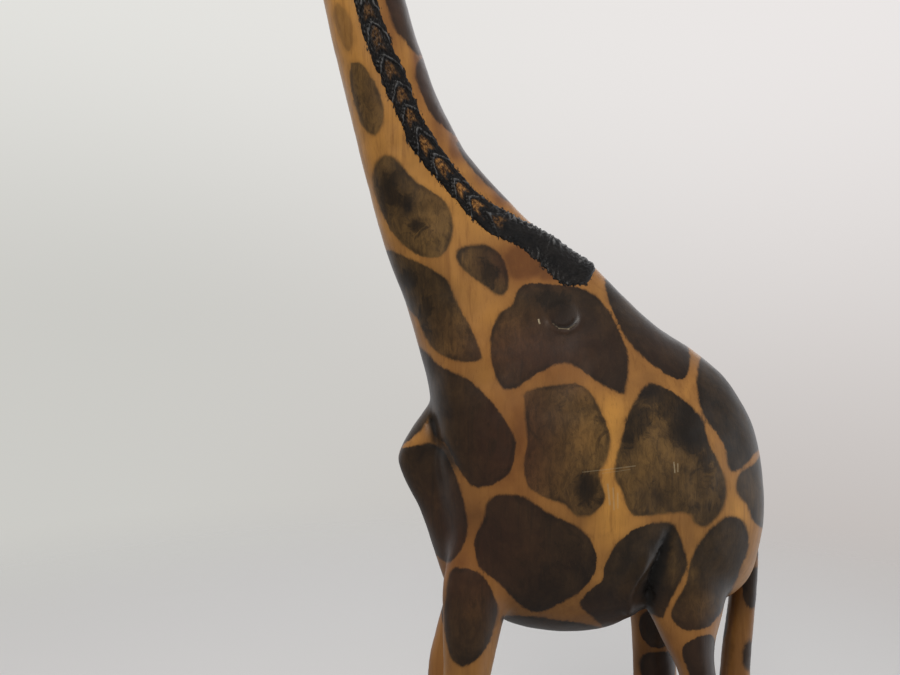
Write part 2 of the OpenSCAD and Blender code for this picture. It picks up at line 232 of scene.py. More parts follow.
FORE_RIGHT = moved(FORE_LEFT, 172, -13) + [
    [200, -54, -30, 10.5, 35], [250, -54, -28, 11.5, 35], [288, -51, -20, 13, 34], [330, -41, -8, 15, 32],
    [360, -40, 2, 16, 29], [392, -35, 7, 12, 25], [418, -26, 5, 5, 21]]
HIND_LEFT = [
    [0, 107, 141, 14, 35], [19, 109, 140, 13.5, 35], [27, 114, 137, 11.5, 35], [36, 117, 136, 10, 35],
    [50, 116, 138, 10.5, 35], [72, 119, 137, 9, 35], [120, 118, 136, 9, 35], [170, 114, 135, 10, 35],
    [205, 111, 137, 11, 35], [240, 109, 131, 11, 35], [285, 106, 128, 12, 34], [310, 100, 122, 13.5, 33],
    [330, 90, 123, 16, 31], [356, 80, 131, 17, 29], [388, 84, 135, 13, 26], [416, 95, 126, 5, 23]]
HIND_RIGHT = moved(HIND_LEFT, 72, -26) + [
    [120, 92, 111, 9, 35], [170, 91, 114, 10, 35], [205, 90, 119, 11, 35], [240, 91, 120, 11, 35],
    [272, 91, 121, 12, 34], [302, 90, 119, 14, 33], [330, 87, 123, 16, 31], [356, 80, 131, 17, 29],
    [388, 84, 135, 13, 26], [416, 95, 126, 5, 23]]
LEGS = {"fore_left": (FORE_LEFT, -1), "fore_right": (FORE_RIGHT, 1),
        "hind_left": (HIND_LEFT, -1), "hind_right": (HIND_RIGHT, 1)}
# z; front x; back x; half width; y
TAIL = [
    [402, 147, 158, 7, 0], [388, 147, 161, 8, 0], [362, 147, 162, 8, 0], [335, 144.5, 160, 8, 0],
    [312, 141, 157.5, 8.5, -1], [288, 138.5, 155.5, 9, -2], [262, 137, 154, 9, -3],
    [242, 138, 153, 8, -3], [222, 135, 156, 10.5, -3], [200, 137, 155, 9.5, -3], [182, 143, 150, 4, -3]]
# along the head: x; top z; bottom z; half width
SKULL = [
    [-27, 4, -8, 5], [-24, 13, -17, 13], [-14, 19, -25, 18.5], [0, 21, -27, 20.5], [14, 19, -25, 20.5],
    [28, 14, -22, 18.5], [44, 8, -19, 15.5], [60, 4, -18, 13], [74, 3, -18, 13], [84, 1, -17, 12],
    [91, -4, -13, 7.5]]
HEAD_PLACE, HEAD_TURN, HEAD_DROP = (-138, -15, 944), 84, 22
# Where the eyes and nostrils sit in the head's own frame: along it, out from its middle, up.
EYE_PLACE, NOSTRIL = (25, 17.2, 3), (84, 6.5, -2)
HEAD = (Matrix.Translation(Vector(HEAD_PLACE)) @ Matrix.Rotation(math.radians(180 - HEAD_TURN), 4, "Z")
        @ Matrix.Rotation(math.radians(HEAD_DROP), 4, "Y"))


def in_head(points):
    m = np.array(HEAD)
    p = np.asarray(points, float)
    return p @ m[:3, :3].T + m[:3, 3]


def trunk_rings(sides=112):
    a = around(sides)
    rings = []
    for s in spline(TRUNK, RINGS_EACH):
        cx, cz, hx, hz = (s[0] + s[2]) / 2, (s[1] + s[3]) / 2, (s[0] - s[2]) / 2, (s[1] - s[3]) / 2
        rings.append(np.stack([cx + hx * np.cos(a), s[5] + s[4] * np.sin(a) * (1 - s[6] * np.cos(a)),
                               cz + hz * np.cos(a)], 1))
    return rings


def leg_rings(stations, side, sides=56):
    a = around(sides)
    return [np.stack([(s[1] + s[2]) / 2 + (s[2] - s[1]) / 2 * np.cos(a), side * s[4] + s[3] * np.sin(a),
                      np.full(sides, s[0])], 1) for s in spline(stations, RINGS_EACH)]


def breast_rings(sides=64, back=-6):
    a = -around(sides)
    return [np.stack([(s[1] + back) / 2 + (back - s[1]) / 2 * np.cos(a), s[2] * np.sin(a),
                      np.full(sides, s[0])], 1) for s in spline(BREAST, RINGS_EACH)]


def skull_rings(sides=64):
    a = around(sides)
    rings = []
    for s in spline(SKULL, RINGS_EACH):
        height = (s[1] + s[2]) / 2 + (s[1] - s[2]) / 2 * np.sin(a)
        rings.append(in_head(np.stack([np.full(sides, s[0]), s[3] * np.cos(a), height], 1)))
    return rings


shell = Shell()
shell.add(trunk_rings())
shell.add(breast_rings())
shell.add(skull_rings())
for rows, side in LEGS.values():
    shell.add(leg_rings(rows, side))
body = fused(shell, "body", BODY_GRID)
me = body.data
V, E = coords(me), edges_of(me)
V = relax(V, E, 6, np.ones(len(V)))


def band(x, lo, hi, soft):
    return smoothstep(lo - soft, lo + soft, x) * (1 - smoothstep(hi - soft, hi + soft, x))


x, y, z = V.T
shoulder = band(x, -40, 14, 10) * band(z, 350, 425, 10) * smoothstep(14, 22, abs(y))
haunch = band(x, 76, 140, 8) * band(z, 352, 425, 10) * smoothstep(12, 22, abs(y))
poll = band(z, 915, 968, 8)
V = relax(V, E, 60, np.clip(shoulder + haunch + 0.7 * poll, 0, 1))
V = relax(V, E, 10, band(z, 335, 480, 8) * 0.6)
V = relax(V, E, 3, np.ones(len(V)) * 0.6)


# ------------------------------ as seen from the side
def side_view(p):
    """Where the line from the eye through each point meets the statue's middle plane: (x, z)."""
    d = p - EYE
    k = -EYE[1] / d[:, 1]
    return np.stack([EYE[0] + d[:, 0] * k, EYE[2] + d[:, 2] * k], 1)


def line_distance(q, path):
    """Distance of each 2-D point to a polyline, and how far along it is (0 to 1)."""
    path = np.array(path, float)
    best, along = np.full(len(q), 1e9), np.zeros(len(q))
    seg = np.linalg.norm(path[1:] - path[:-1], axis=1)
    run = np.concatenate([[0], np.cumsum(seg)])
    for i in range(len(path) - 1):
        a, b = path[i], path[i + 1]
        t = np.clip(((q - a) @ (b - a)) / max(seg[i] ** 2, 1e-9), 0, 1)
        d = np.linalg.norm(q - a - t[:, None] * (b - a), axis=1)
        near = d < best
        best = np.where(near, d, best)
        along = np.where(near, (run[i] + t * seg[i]) / run[-1], along)
    return best, along


def outline_distance(q, outline):
    """Signed distance to a closed curve, positive inside."""
    c = closed_spline(outline)
    lo, hi = c.min(0) + FAR_OFF, c.max(0) - FAR_OFF
    out = np.full(len(q), FAR_OFF)
    near = ((q > lo) & (q < hi)).all(1)
    p = q[near]
    d, _ = line_distance(p, np.concatenate([c, c[:1]]))
    inside = np.zeros(len(p), bool)
    for a, b in zip(c, np.roll(c, -1, 0)):
        cross = (a[1] > p[:, 1]) != (b[1] > p[:, 1])
        with np.errstate(divide="ignore", invalid="ignore"):
            xs = a[0] + (p[:, 1] - a[1]) * (b[0] - a[0]) / (b[1] - a[1])
        inside ^= cross & (p[:, 0] < xs)
    out[near] = np.where(inside, d, -d)
    return out


def wobble(p, scale, seed, octaves=3):
    off = Vector((seed * 7.3, seed * 3.1, seed * 5.7))
    return np.array([noise.fractal(Vector(q) * scale + off, 0.8, 2.1, octaves) for q in p.tolist()])


set_coords(me, V)
N = normals(me)
near_side = N[:, 1] < 0
view = side_view(V)

# The skin fold in front of the hind leg: a raised edge with a rough cut behind it.
GROOVE = [(106, 384), (104, 378), (101, 367), (97, 356), (94, 345), (92, 334)]
RIDGE = [(95, 374), (90, 363), (83, 353), (79, 344), (78, 334)]
CREASE = [(-50, 456), (-47, 443), (-40, 434), (-34, 424), (-30, 414)]
rough, chip = wobble(V, 0.16, 1), wobble(V, 0.45, 4, 2)
push = np.zeros(len(V))
for mask, q in ((near_side & (V[:, 1] < -12), view),
                ((~near_side) & (V[:, 1] > 12), side_view(V * [1, -1, 1]) + [-3, 2])):
    d, t = line_distance(q, GROOVE)
    starts, ends = 0.4 + 0.6 * smoothstep(0, 0.3, t), 1 - 0.75 * smoothstep(0.78, 1, t)
    push -= mask * (3.0 + 2.4 * chip) * bell(d, 2.6 + 1.6 * rough) * starts * ends
    push -= mask * 2.0 * bell(d, 6.0) * smoothstep(0.1, 0.6, t) * (1 - 0.6 * smoothstep(0.8, 1, t))
    d, t = line_distance(q, RIDGE)
    push += mask * 2.6 * bell(d, 3.6) * smoothstep(0, 0.4, t)
    d, t = line_distance(q, CREASE)
    push -= mask * 1.8 * bell(d, 4.0) * (1 - smoothstep(0.6, 1, t))
# Slight flats and hollows left by the knife.
push += 0.45 * wobble(V, 0.035, 2, 2) + 0.12 * wobble(V, 0.11, 3, 2)

# The plug that fills the knot: a shallow ring cut round it.
PLUG = np.array([31.5, -30.5, 523.0])
r = np.linalg.norm(V - PLUG, axis=1)
below = smoothstep(-2, 6, PLUG[2] - V[:, 2])
push += np.where(near_side, -(0.3 + 1.2 * below) * bell(r - 8.2, 0.9)
                 + 0.8 * below * bell(r - 10.2, 1.5) - 0.8 * np.exp(-(r / 8.0) ** 4), 0)

# Brow, eye sockets, nostrils and mouth.
inv = np.array(HEAD.inverted())
H = V @ inv[:3, :3].T + inv[:3, 3]
in_skull = (V[:, 2] > 880) & (H[:, 0] > 8)
mouth = np.exp(-((H[:, 2] + 9.5 + 0.05 * (90 - H[:, 0])) / 0.9) ** 2) * smoothstep(52, 60, H[:, 0])
push -= in_skull * 1.3 * mouth
for s in (-1, 1):
    d = np.linalg.norm((H - np.multiply(NOSTRIL, (1, s, 1))) / [1.6, 1.0, 1.0], axis=1)
    push -= in_skull * 2.2 * bell(d, 2.3)
    d = np.linalg.norm((H - np.multiply(EYE_PLACE, (1, s, 1))) / [1.35, 1.2, 1.0], axis=1)
    push += in_skull * (1.3 * bell(d - 6.6, 1.5) - 0.8 * bell(d - 4.6, 0.8))
V = V + N * push[:, None]
set_coords(me, V)
N = normals(me)

# ------------------------------ where the mane lies, as seen from the side
# The mane's lower and upper edge from the poll to the withers: lower x, z; upper x, z.
MANE = [
    [-150, 983, -140, 985], [-139, 914, -127, 916], [-123, 833, -111, 837], [-109, 775, -97, 779],
    [-99, 728, -85, 731], [-90, 697, -75, 701], [-79, 672, -64, 677], [-69, 650, -57, 657],
    [-59, 629, -46, 638], [-41, 608, -31, 617], [-26, 591, -17, 602], [-11, 578, -1, 592],
    [7, 570, 14, 584], [22, 558, 32, 576], [34, 546, 48, 567], [44, 544, 55, 562], [54, 546, 58, 556]]
TUFT, STEP, COLS = 16.5, 0.5, 44
rails = spline(MANE, 4)
mane_outline = np.concatenate([rails[:, :2], rails[::-1, 2:]])


# ------------------------------ the scorched markings, and painted shade and sheen
# Outlines as seen from the side (x, z in mm): name: (sides it shows on, how olive it is, points)
MARKS = {
    "neck_1": ("L", 1.5, [(-110, 727), (-102, 718), (-100, 704), (-103, 696), (-110, 708), (-113, 720)]),
    "neck_2": ("L", 0.85, [
        (-100, 689), (-92, 686), (-82, 666), (-80, 650), (-87, 641), (-95, 650), (-101, 670), (-102, 683)]),
    "neck_3": ("L", 0.6, [
        (-84, 626), (-73, 627), (-60, 612), (-41, 599), (-35, 582), (-41, 564), (-58, 564), (-75, 579),
        (-87, 607)]),
    "neck_4": ("B", 0.35, [
        (-80, 566), (-60, 560), (-40, 548), (-31, 530), (-18, 504), (-18, 495), (-30, 494), (-48, 502),
        (-57, 519), (-67, 532), (-79, 541)]),
    "neck_5": ("L", 0.45, [
        (-30, 568), (-14, 570), (-3, 562), (1, 546), (-4, 537), (-14, 543), (-28, 554), (-33, 562)]),
    "saddle": ("L", 0.12, [
        (-5, 525), (3, 531), (8, 542), (17, 545), (48, 542), (65, 529), (78, 502), (78, 480), (74, 473),
        (58, 482), (40, 493), (22, 488), (5, 477), (-6, 481), (-11, 506)]),
    "shoulder": ("B", 0.08, [
        (-60, 505), (-42, 491), (-24, 482), (-6, 464), (5, 444), (3, 425), (-8, 415), (-22, 413),
        (-32, 426), (-40, 441), (-48, 448), (-58, 477)]),
    "breast": ("L", 0.1, [
        (-64, 439), (-48, 441), (-37, 429), (-28, 405), (-26, 381), (-36, 365), (-46, 368), (-60, 387),
        (-72, 411), (-80, 425), (-74, 436)]),
    "breast_top": ("B", 0.15, [
        (-46, 471), (-58, 469), (-70, 457), (-82, 440), (-76, 436), (-66, 441), (-52, 455)]),
    "flank_mid": ("L", 0.8, [
        (11, 471), (16, 476), (32, 479), (46, 480), (56, 472), (66, 450), (66, 434), (60, 420), (64, 406),
        (57, 396), (46, 394), (36, 402), (20, 408), (11, 420), (13, 444)]),
    "flank_rear": ("L", 0.62, [
        (75, 446), (80, 463), (92, 480), (108, 474), (126, 459), (132, 440), (142, 418), (141, 400),
        (130, 387), (122, 389), (117, 396), (98, 395), (82, 395), (75, 409), (70, 423)]),
    "back": ("B", 0.05, [
        (64, 544), (69, 556), (86, 547), (108, 526), (119, 501), (116, 484), (107, 484), (90, 496),
        (74, 515)]),
    "rump_top": ("B", 0.1, [
        (124, 486), (127, 498), (140, 500), (161, 484), (172, 457), (165, 439), (147, 422), (141, 440),
        (129, 458), (124, 473)]),
    "rump": ("B", 0.2, [
        (150, 420), (160, 428), (169, 437), (178, 434), (180, 404), (172, 386), (161, 390), (156, 400),
        (149, 409)]),
    "belly": ("L", 0.05, [
        (-13, 403), (-5, 408), (12, 406), (28, 395), (46, 387), (57, 374), (57, 357), (44, 342),
        (22, 332), (10, 335), (-3, 348), (-18, 361), (-21, 378), (-15, 392)]),
    "thigh_front": ("B", 0.08, [
        (63, 360), (70, 374), (84, 386), (104, 390), (112, 382), (117, 366), (115, 355), (107, 341),
        (101, 327), (91, 331), (78, 323), (67, 318), (57, 327), (47, 336), (53, 345), (62, 352)]),
    "haunch": ("B", 0.15, [
        (120, 366), (128, 381), (142, 393), (153, 391), (157, 375), (150, 355), (140, 333), (130, 322),
        (115, 320), (106, 330), (115, 347)]),
    "elbow": ("L", 0.15, [
        (-38, 356), (-28, 360), (-14, 354), (-6, 334), (-12, 311), (-25, 297), (-36, 301), (-41, 325)]),
    "hock": ("L", 0.05, [
        (114, 309), (131, 317), (136, 310), (138, 286), (135, 271), (125, 272), (118, 292)]),
    # Painted shade: a dark strip laid along the underside of the belly.
    "under": ("B", 0.2, [(-2, 329), (28, 327), (66, 320), (60, 309), (30, 305), (3, 316)]),
    "far_1": ("L", 0.1, [(-79, 730), (-71, 708), (-55, 693), (-52, 708), (-64, 752), (-78, 752)]),
    "far_2": ("L", 0.1, [(-57, 690), (-59, 679), (-50, 656), (-31, 640), (-33, 656), (-47, 690)]),
    "far_3": ("L", 0.1, [(-32, 633), (-15, 611), (2, 598), (-3, 613), (-26, 638)]),
    # The far side, which the photo does not show.
    "r_neck_3": ("R", 0.3, [(-78, 640), (-60, 632), (-52, 610), (-72, 586), (-88, 618)]),
    "r_neck_5": ("R", 0.3, [(-44, 598), (-28, 604), (-11, 584), (-28, 562), (-42, 574)]),
    "r_saddle": ("R", 0.1, [
        (-6, 540), (14, 552), (38, 546), (56, 520), (44, 490), (20, 484), (-6, 494), (-14, 516)]),
    "r_mid": ("R", 0.5, [(14, 466), (34, 474), (56, 460), (58, 424), (34, 402), (12, 416)]),
    "r_rear": ("R", 0.5, [
        (72, 470), (92, 480), (112, 470), (128, 434), (120, 402), (90, 395), (70, 420), (66, 444)]),
    "r_top": ("R", 0.1, [(66, 506), (84, 511), (102, 494), (88, 486), (72, 492)]),
    "r_belly": ("R", 0.05, [(-14, 398), (8, 402), (36, 391), (48, 356), (24, 334), (-4, 344), (-20, 376)]),
    "r_breast": ("R", 0.1, [(-68, 436), (-48, 435), (-30, 398), (-40, 371), (-58, 392), (-73, 420)]),
    "r_elbow": ("R", 0.1, [(-38, 350), (-22, 356), (-9, 336), (-18, 302), (-38, 296), (-46, 322)]),
}
# Round the upper neck: height, angle (0 at the back, -90 on the left side), half height, half width
NECK_MARKS = [
    (760, -128, 15, 9, 0.5), (752, -45, 17, 8, 0.2), (798, -140, 17, 10, 0.3), (794, -52, 16, 8, 0.3),
    (842, -130, 17, 8, 0.3), (836, -44, 17, 8, 0.2), (884, -138, 15, 8, 0.3), (880, -48, 15, 7, 0.3),
    (916, -130, 9, 7, 0.3), (690, 60, 18, 14, 0.2), (660, 118, 17, 13, 0.3), (726, 110, 18, 13, 0.3),
    (744, 30, 18, 12, 0.2), (772, 120, 16, 12, 0.3), (792, 50, 17, 12, 0.2), (820, 128, 17, 11, 0.3),
    (842, 48, 17, 11, 0.2), (870, 118, 16, 11, 0.3), (892, 40, 15, 10, 0.2), (914, 112, 12, 9, 0.3),
    (705, 172, 16, 9, 0.3), (756, 178, 16, 9, 0.3), (806, 176, 16, 8, 0.3), (856, 178, 15, 8, 0.3),
    (902, 178, 14, 8, 0.3), (650, 176, 16, 8, 0.3)]
# On the legs: height, angle (0 at the rear, -90 on the left side), half height, half width (mm)
LEG_MARKS = {
    "fore_left": [
        (272, 150, 14, 9), (262, -20, 17, 8), (250, -120, 20, 9), (238, 60, 16, 9), (205, -160, 12, 8),
        (200, -50, 15, 8), (192, 80, 15, 8), (160, -110, 12, 8), (150, 20, 13, 8), (140, 150, 11, 7),
        (118, -70, 11, 6), (104, 60, 11, 6), (84, -150, 10, 6), (72, -20, 9, 6), (58, 110, 8, 6)],
    "fore_right": [
        (292, -60, 17, 9), (280, 60, 17, 9), (262, 170, 16, 8), (244, -110, 16, 9), (236, 10, 16, 9),
        (222, 110, 14, 8), (196, -30, 14, 8), (190, -140, 13, 8), (172, 60, 13, 8), (150, -80, 12, 7),
        (142, 150, 12, 7), (120, 0, 11, 7), (104, -120, 11, 6), (88, 80, 10, 6), (70, -30, 9, 6),
        (56, 160, 8, 6)],
    "hind_left": [
        (292, 30, 12, 7), (262, 150, 15, 9), (240, -100, 19, 10), (232, 10, 13, 8), (205, 100, 14, 8),
        (196, -150, 13, 7), (188, -50, 14, 8), (158, 30, 12, 7), (150, -110, 12, 7), (128, 130, 11, 7),
        (112, -40, 11, 6), (92, 70, 10, 6), (84, -130, 10, 6), (64, 0, 8, 6), (56, 150, 8, 6)],
    "hind_right": [
        (314, -92, 15, 14), (284, -88, 13, 15), (286, 30, 14, 9), (262, 140, 14, 9), (246, -60, 15, 9),
        (232, 60, 14, 8), (206, -120, 14, 8), (200, 0, 13, 8), (184, 110, 13, 8), (164, -50, 12, 7),
        (146, 50, 12, 7), (138, -150, 11, 7), (116, 0, 11, 6), (104, 120, 10, 6), (88, -80, 10, 6),
        (68, 40, 9, 6), (56, -140, 8, 6)],
}
# In the head's own frame: centre and radius
HEAD_MARKS = [
    ((-8, -15, -14), 9), ((12, -19, -12), 7), ((40, -14, -6), 6.5), ((56, -11, 0), 5), ((-8, 15, -14), 9),
    ((12, 19, -12), 7), ((40, 14, -6), 6.5), ((56, 11, 0), 5), ((24, 0, 16), 6), ((-22, 0, 6), 8),
    ((30, 10, 12), 4.5), ((30, -10, 12), 4.5), ((46, 0, 8), 5), ((20, 0, -24), 8), ((48, 0, -19), 7)]


def station_at(table, column, height):
    rows = spline(table, RINGS_EACH)
    order = np.argsort(rows[:, column])
    return [np.interp(height, rows[order, column], rows[order, k]) for k in range(rows.shape[1])]


spot = np.full(len(V), NO_SPOT)
olive = np.zeros(len(V))
nearest = np.full(len(V), -99.0)


def mark(distance, tint):
    global spot, olive, nearest
    closer = distance > nearest
    olive = np.where(closer, tint, olive)
    nearest = np.maximum(nearest, distance)
    spot = np.maximum(spot, distance)


left_view, right_view = side_view(V), side_view(V * [1, -1, 1])
neck = station_at(TRUNK, 1, V[:, 2] + 20)
middle = np.where(V[:, 2] > 600, neck[5], 0.0)
off = V[:, 1] - middle
leftness = 1 - smoothstep(-5, 5, off + 6 * N[:, 1])
FAR = 30.0
OUTLINES_FROM = 262
for where, tint, points in MARKS.values():
    left = outline_distance(left_view, points) if where in "LB" else None
    right = outline_distance(right_view, points) if where in "RB" else None
    if where == "L":
        d = left - FAR * (1 - leftness)
    elif where == "R":
        d = right - FAR * leftness
    else:
        d = left * leftness + right * (1 - leftness)
    mark(np.where(V[:, 2] < OUTLINES_FROM, NO_SPOT, d), tint)


def oval(dz, da, rz, ra):
    """Distance inside an oval of half height rz and half width ra."""
    return np.clip((1 - np.sqrt((dz / rz) ** 2 + (da / ra) ** 2)) * min(rz, ra), NO_SPOT, -NO_SPOT)


def turned(angle, degrees):
    """The angle from a direction given in degrees, between half a turn either way."""
    return (angle - math.radians(degrees) + math.pi) % (2 * math.pi) - math.pi


LEG_TINT, HEAD_TINT = 0.12, 0.15


def round_marks(mask, cx, cy, marks):
    """Ovals laid round a limb whose centre line is cx, cy; a mark may say how olive it is."""
    angle = np.arctan2(V[:, 1] - cy, V[:, 0] - cx)
    radius = np.hypot(V[:, 1] - cy, V[:, 0] - cx)
    for height, degrees, rz, ra, *tint in marks:
        d = oval(V[:, 2] - height, turned(angle, degrees) * radius, rz, ra)
        mark(np.where(mask, d, NO_SPOT), tint[0] if tint else LEG_TINT)


round_marks((V[:, 2] > NECK_FROM) & (V[:, 2] < NECK_TO), (neck[0] + neck[2]) / 2, neck[5], NECK_MARKS)
for name, (rows, side) in LEGS.items():
    st = station_at(rows, 0, V[:, 2])
    mask = (V[:, 2] < JOINT_Z + 1) & (np.sign(V[:, 1]) == side)
    mask &= (V[:, 0] < LEGS_PART_AT) == name.startswith("fore")
    mask &= ~((V[:, 2] > 318) & (abs(V[:, 1]) < 16))
    round_marks(mask, (st[1] + st[2]) / 2, side * st[4], LEG_MARKS[name])
for c, rad in HEAD_MARKS:
    d = np.linalg.norm((H - np.array(c)) / [1.25, 1, 1], axis=1)
    mark(np.where(V[:, 2] > HEAD_FROM, np.clip(rad - d, NO_SPOT, -NO_SPOT), NO_SPOT), HEAD_TINT)


def glow(cx, cz, rx, rz):
    """A soft spot in the side view: 1 at its centre, fading over rx and rz."""
    return np.exp(-(((left_view[:, 0] - cx) / rx) ** 2 + ((left_view[:, 1] - cz) / rz) ** 2))


# Where the scorching is thin and olive, or thick and black: x, z, reach in x and z, how much.
TONES = [
    (-74, 609, 10, 13, -0.4), (-49, 581, 14, 15, 0.42), (-64, 594, 4, 5, -0.7),
    (-58, 584, 3.5, 3.5, -0.7), (-27, 559, 5, 7, 0.5), (-30, 522, 5, 16, 0.55), (-38, 503, 10, 5, 0.35),
    (6, 515, 20, 16, 0.42), (-1, 500, 7, 12, 0.3), (44, 522, 14, 12, -0.2), (66, 495, 12, 16, -0.3),
    (51, 444, 14, 20, 0.3), (51, 413, 7, 12, -0.8), (23, 448, 11, 26, -0.42), (96, 434, 17, 11, 0.25),
    (99, 460, 6, 11, 0.3), (119, 453, 10, 15, -1.0), (88, 475, 13, 5, -0.8), (80, 443, 4, 8, -0.5),
    (98, 408, 9, 5, -0.35), (-90, 664, 4, 10, -0.35), (108, 362, 3.5, 13, 0.6), (119, 357, 5, 9, 0.5),
    (126, 335, 12, 9, 0.3), (126, 301, 9, 10, -0.4), (-58, 400, 6, 20, 0.1), (20, 372, 16, 14, 0.12),
    (-22, 330, 8, 12, 0.2)]
for cx, cz, rx, rz, amount in TONES:
    olive = olive + amount * glow(cx, cz, rx, rz) * leftness
olive = np.clip(olive, 0, 1.5)
# Thick ragged blots of soot laid over the olive patches: x, z, reach in x and z.
BLOTS = [
    (124, 444, 9, 10), (118, 449, 14, 11), (110, 466, 17, 10), (84, 456, 10, 10), (97, 472, 12, 7),
    (78, 447, 6, 7), (130, 430, 5, 9), (53, 411, 7, 10), (60, 403, 6, 5), (124, 400, 8, 3),
    (-65, 599, 6, 5), (-58, 582, 4, 5), (-76, 607, 7, 11), (-12, 551, 5, 8), (-63, 548, 6, 6),
    (-52, 529, 4, 7), (28, 534, 8, 6)]
blot = np.full(len(V), FAR_OFF)
for cx, cz, rx, rz in BLOTS:
    q = np.hypot((left_view[:, 0] - cx) / rx, (left_view[:, 1] - cz) / rz)
    blot = np.maximum(blot, np.clip((1 - q) * min(rx, rz), FAR_OFF, -FAR_OFF))
blot = blot * leftness + FAR_OFF * (1 - leftness)
# Where the wood is redder: low on the shoulder and round the saddle; the rest is yellow ochre.
# x, z, reach in x and z, how much.
WARMTH = [
    (12, 560, 22, 16, 1.7), (34, 552, 24, 10, 1.4), (80, 500, 16, 22, 0.5), (60, 480, 60, 9, 0.45),
    (2, 440, 34, 60, 1.12), (20, 500, 60, 30, 1.02), (8, 560, 30, 14, 0.8), (-20, 372, 60, 60, 1.05),
    (60, 330, 60, 20, 0.7), (110, 300, 60, 40, 0.7), (100, 505, 30, 30, 0.5), (-75, 730, 14, 60, 1.0),
    (-40, 664, 15, 46, 1.22), (-26, 640, 12, 22, 1.15), (-14, 618, 16, 20, 1.0), (-55, 695, 9, 50, 1.35),
    (-33, 645, 10, 30, 1.35), (-4, 606, 12, 18, 1.3)]
WARMEST = 1.25
warm = np.zeros(len(V))
for cx, cz, rx, rz, amount in WARMTH:
    warm = np.maximum(warm, np.minimum(WARMEST, amount * glow(cx, cz, rx, rz)))
warm = np.maximum(warm, 0.7 * (1 - smoothstep(270, 330, V[:, 2])))
# Paler wood: between the flank patches, before the saddle, down the front of the neck; at the rear edge the
# paler ochre is painted sheen over ochre wood.
across, up = left_view.T
pale = bell(across - 68, 13) * band(up, 375, 474, 12)
pale = np.maximum(pale, bell(across + 10, 10) * band(up, 480, 530, 12))
pale = np.maximum(pale, smoothstep(555, 600, V[:, 2]) * (V[:, 0] < 0) * 0.6)
# Painted sheen: the rear edge of the rump is lightened.
pale = np.maximum(pale, glow(150, 396, 8, 16))
# Painted shade in the cuts: every hollow pushed into the skin is darkened by its depth; hooves dyed black,
# muzzle and eyes darkened.
cut_shade = np.clip(-push / 1.6, 0, 1) * 0.9
hoof = 1 - smoothstep(23, 29, V[:, 2] + 1.5 * rough)
from_eyes = (H - np.multiply(EYE_PLACE, (1, 0, 1))) / [9, 30, 8]
round_eye = np.clip(1.2 - np.linalg.norm(from_eyes, axis=1), 0, 1)
face = in_skull * round_eye * (abs(H[:, 1]) > 12) * 1.5
face = np.maximum(face, in_skull * smoothstep(78, 90, H[:, 0]) * 0.55)
black = np.clip(np.maximum(np.maximum(cut_shade, hoof), face), 0, 1)
drip = np.where(leftness > 0.1, outline_distance(left_view, mane_outline[::3]), FAR_OFF)


def add_maps(m, **maps):
    """Stores the maps that the carved wood reads; those not given hold nothing anywhere."""
    empty = {"spot": NO_SPOT, "olive": 0.0, "warm": 0.0, "pale": 0.0, "black": 0.0, "drip": FAR_OFF,
             "blot": FAR_OFF}
    for key, nothing in empty.items():
        add_attr(m, key, maps.get(key, np.full(len(m.vertices), nothing)))


add_maps(me, spot=spot, olive=olive, warm=warm, pale=pale, black=black, drip=drip, blot=blot)

# ------------------------------ part the legs from the trunk at the glued joints
bm = bmesh.new()
bm.from_mesh(me)
geom = bm.verts[:] + bm.edges[:] + bm.faces[:]
bmesh.ops.bisect_plane(bm, geom=geom, plane_co=(0, 0, JOINT_Z * MM), plane_no=(0, 0, 1), dist=1e-7)
bm.normal_update()
keep = bm.verts.layers.float_vector.new("keep")
for v in bm.verts:
    v[keep] = v.normal
layer = bm.faces.layers.int.new("piece")
low = {f for f in bm.faces if f.calc_center_median().z < JOINT_Z * MM}
islands = []
while low:
    seed = low.pop()
    stack, part = [seed], [seed]
    while stack:
        f = stack.pop()
        for e in f.edges:
            for g in e.link_faces:
                if g in low:
                    low.discard(g)
                    stack.append(g)
                    part.append(g)
    islands.append(part)
for part in islands:
    c = sum((f.calc_center_median() for f in part), Vector()) / len(part) / MM
    if min(v.co.z for f in part for v in f.verts) < 0.2:
        leg = ("fore" if c.x < LEGS_PART_AT else "hind") + ("_left" if c.y < 0 else "_right")
        for f in part:
            f[layer] = 1 + list(LEGS).index(leg)
pieces = {}
for number, name in enumerate(["trunk"] + ["leg_" + leg for leg in LEGS]):
    b = bm.copy()
    lay = b.faces.layers.int["piece"]
    bmesh.ops.delete(b, geom=[f for f in b.faces if f[lay] != number], context="FACES")
    rim = [e for e in b.edges if e.is_boundary]
    caps = bmesh.ops.holes_fill(b, edges=rim, sides=0)["faces"]
    bmesh.ops.triangulate(b, faces=caps)
    m = bpy.data.meshes.new(name + "_carved")
    b.to_mesh(m)
    b.free()
    pieces[name] = new_object(name + "_carved", m)
bm.free()
BODY_TREE = BVHTree.FromPolygons([Vector(v) for v in V.tolist()], [tuple(p.vertices) for p in me.polygons])
bpy.data.objects.remove(body)


# ------------------------------ the mane
across_at = np.linspace(-1, 1, COLS)


def on_body(q):
    """The near-side point of the body that lies behind q = (x, z) in the side view."""
    d = Vector((q[0] - EYE[0], -EYE[1], q[1] - EYE[2])).normalized()
    hit = BODY_TREE.ray_cast(Vector(EYE), d)
    if hit[0] is None:
        hit = BODY_TREE.find_nearest(Vector((q[0], -6.0, q[1])))
    return np.array(hit[0]), np.array(hit[1])


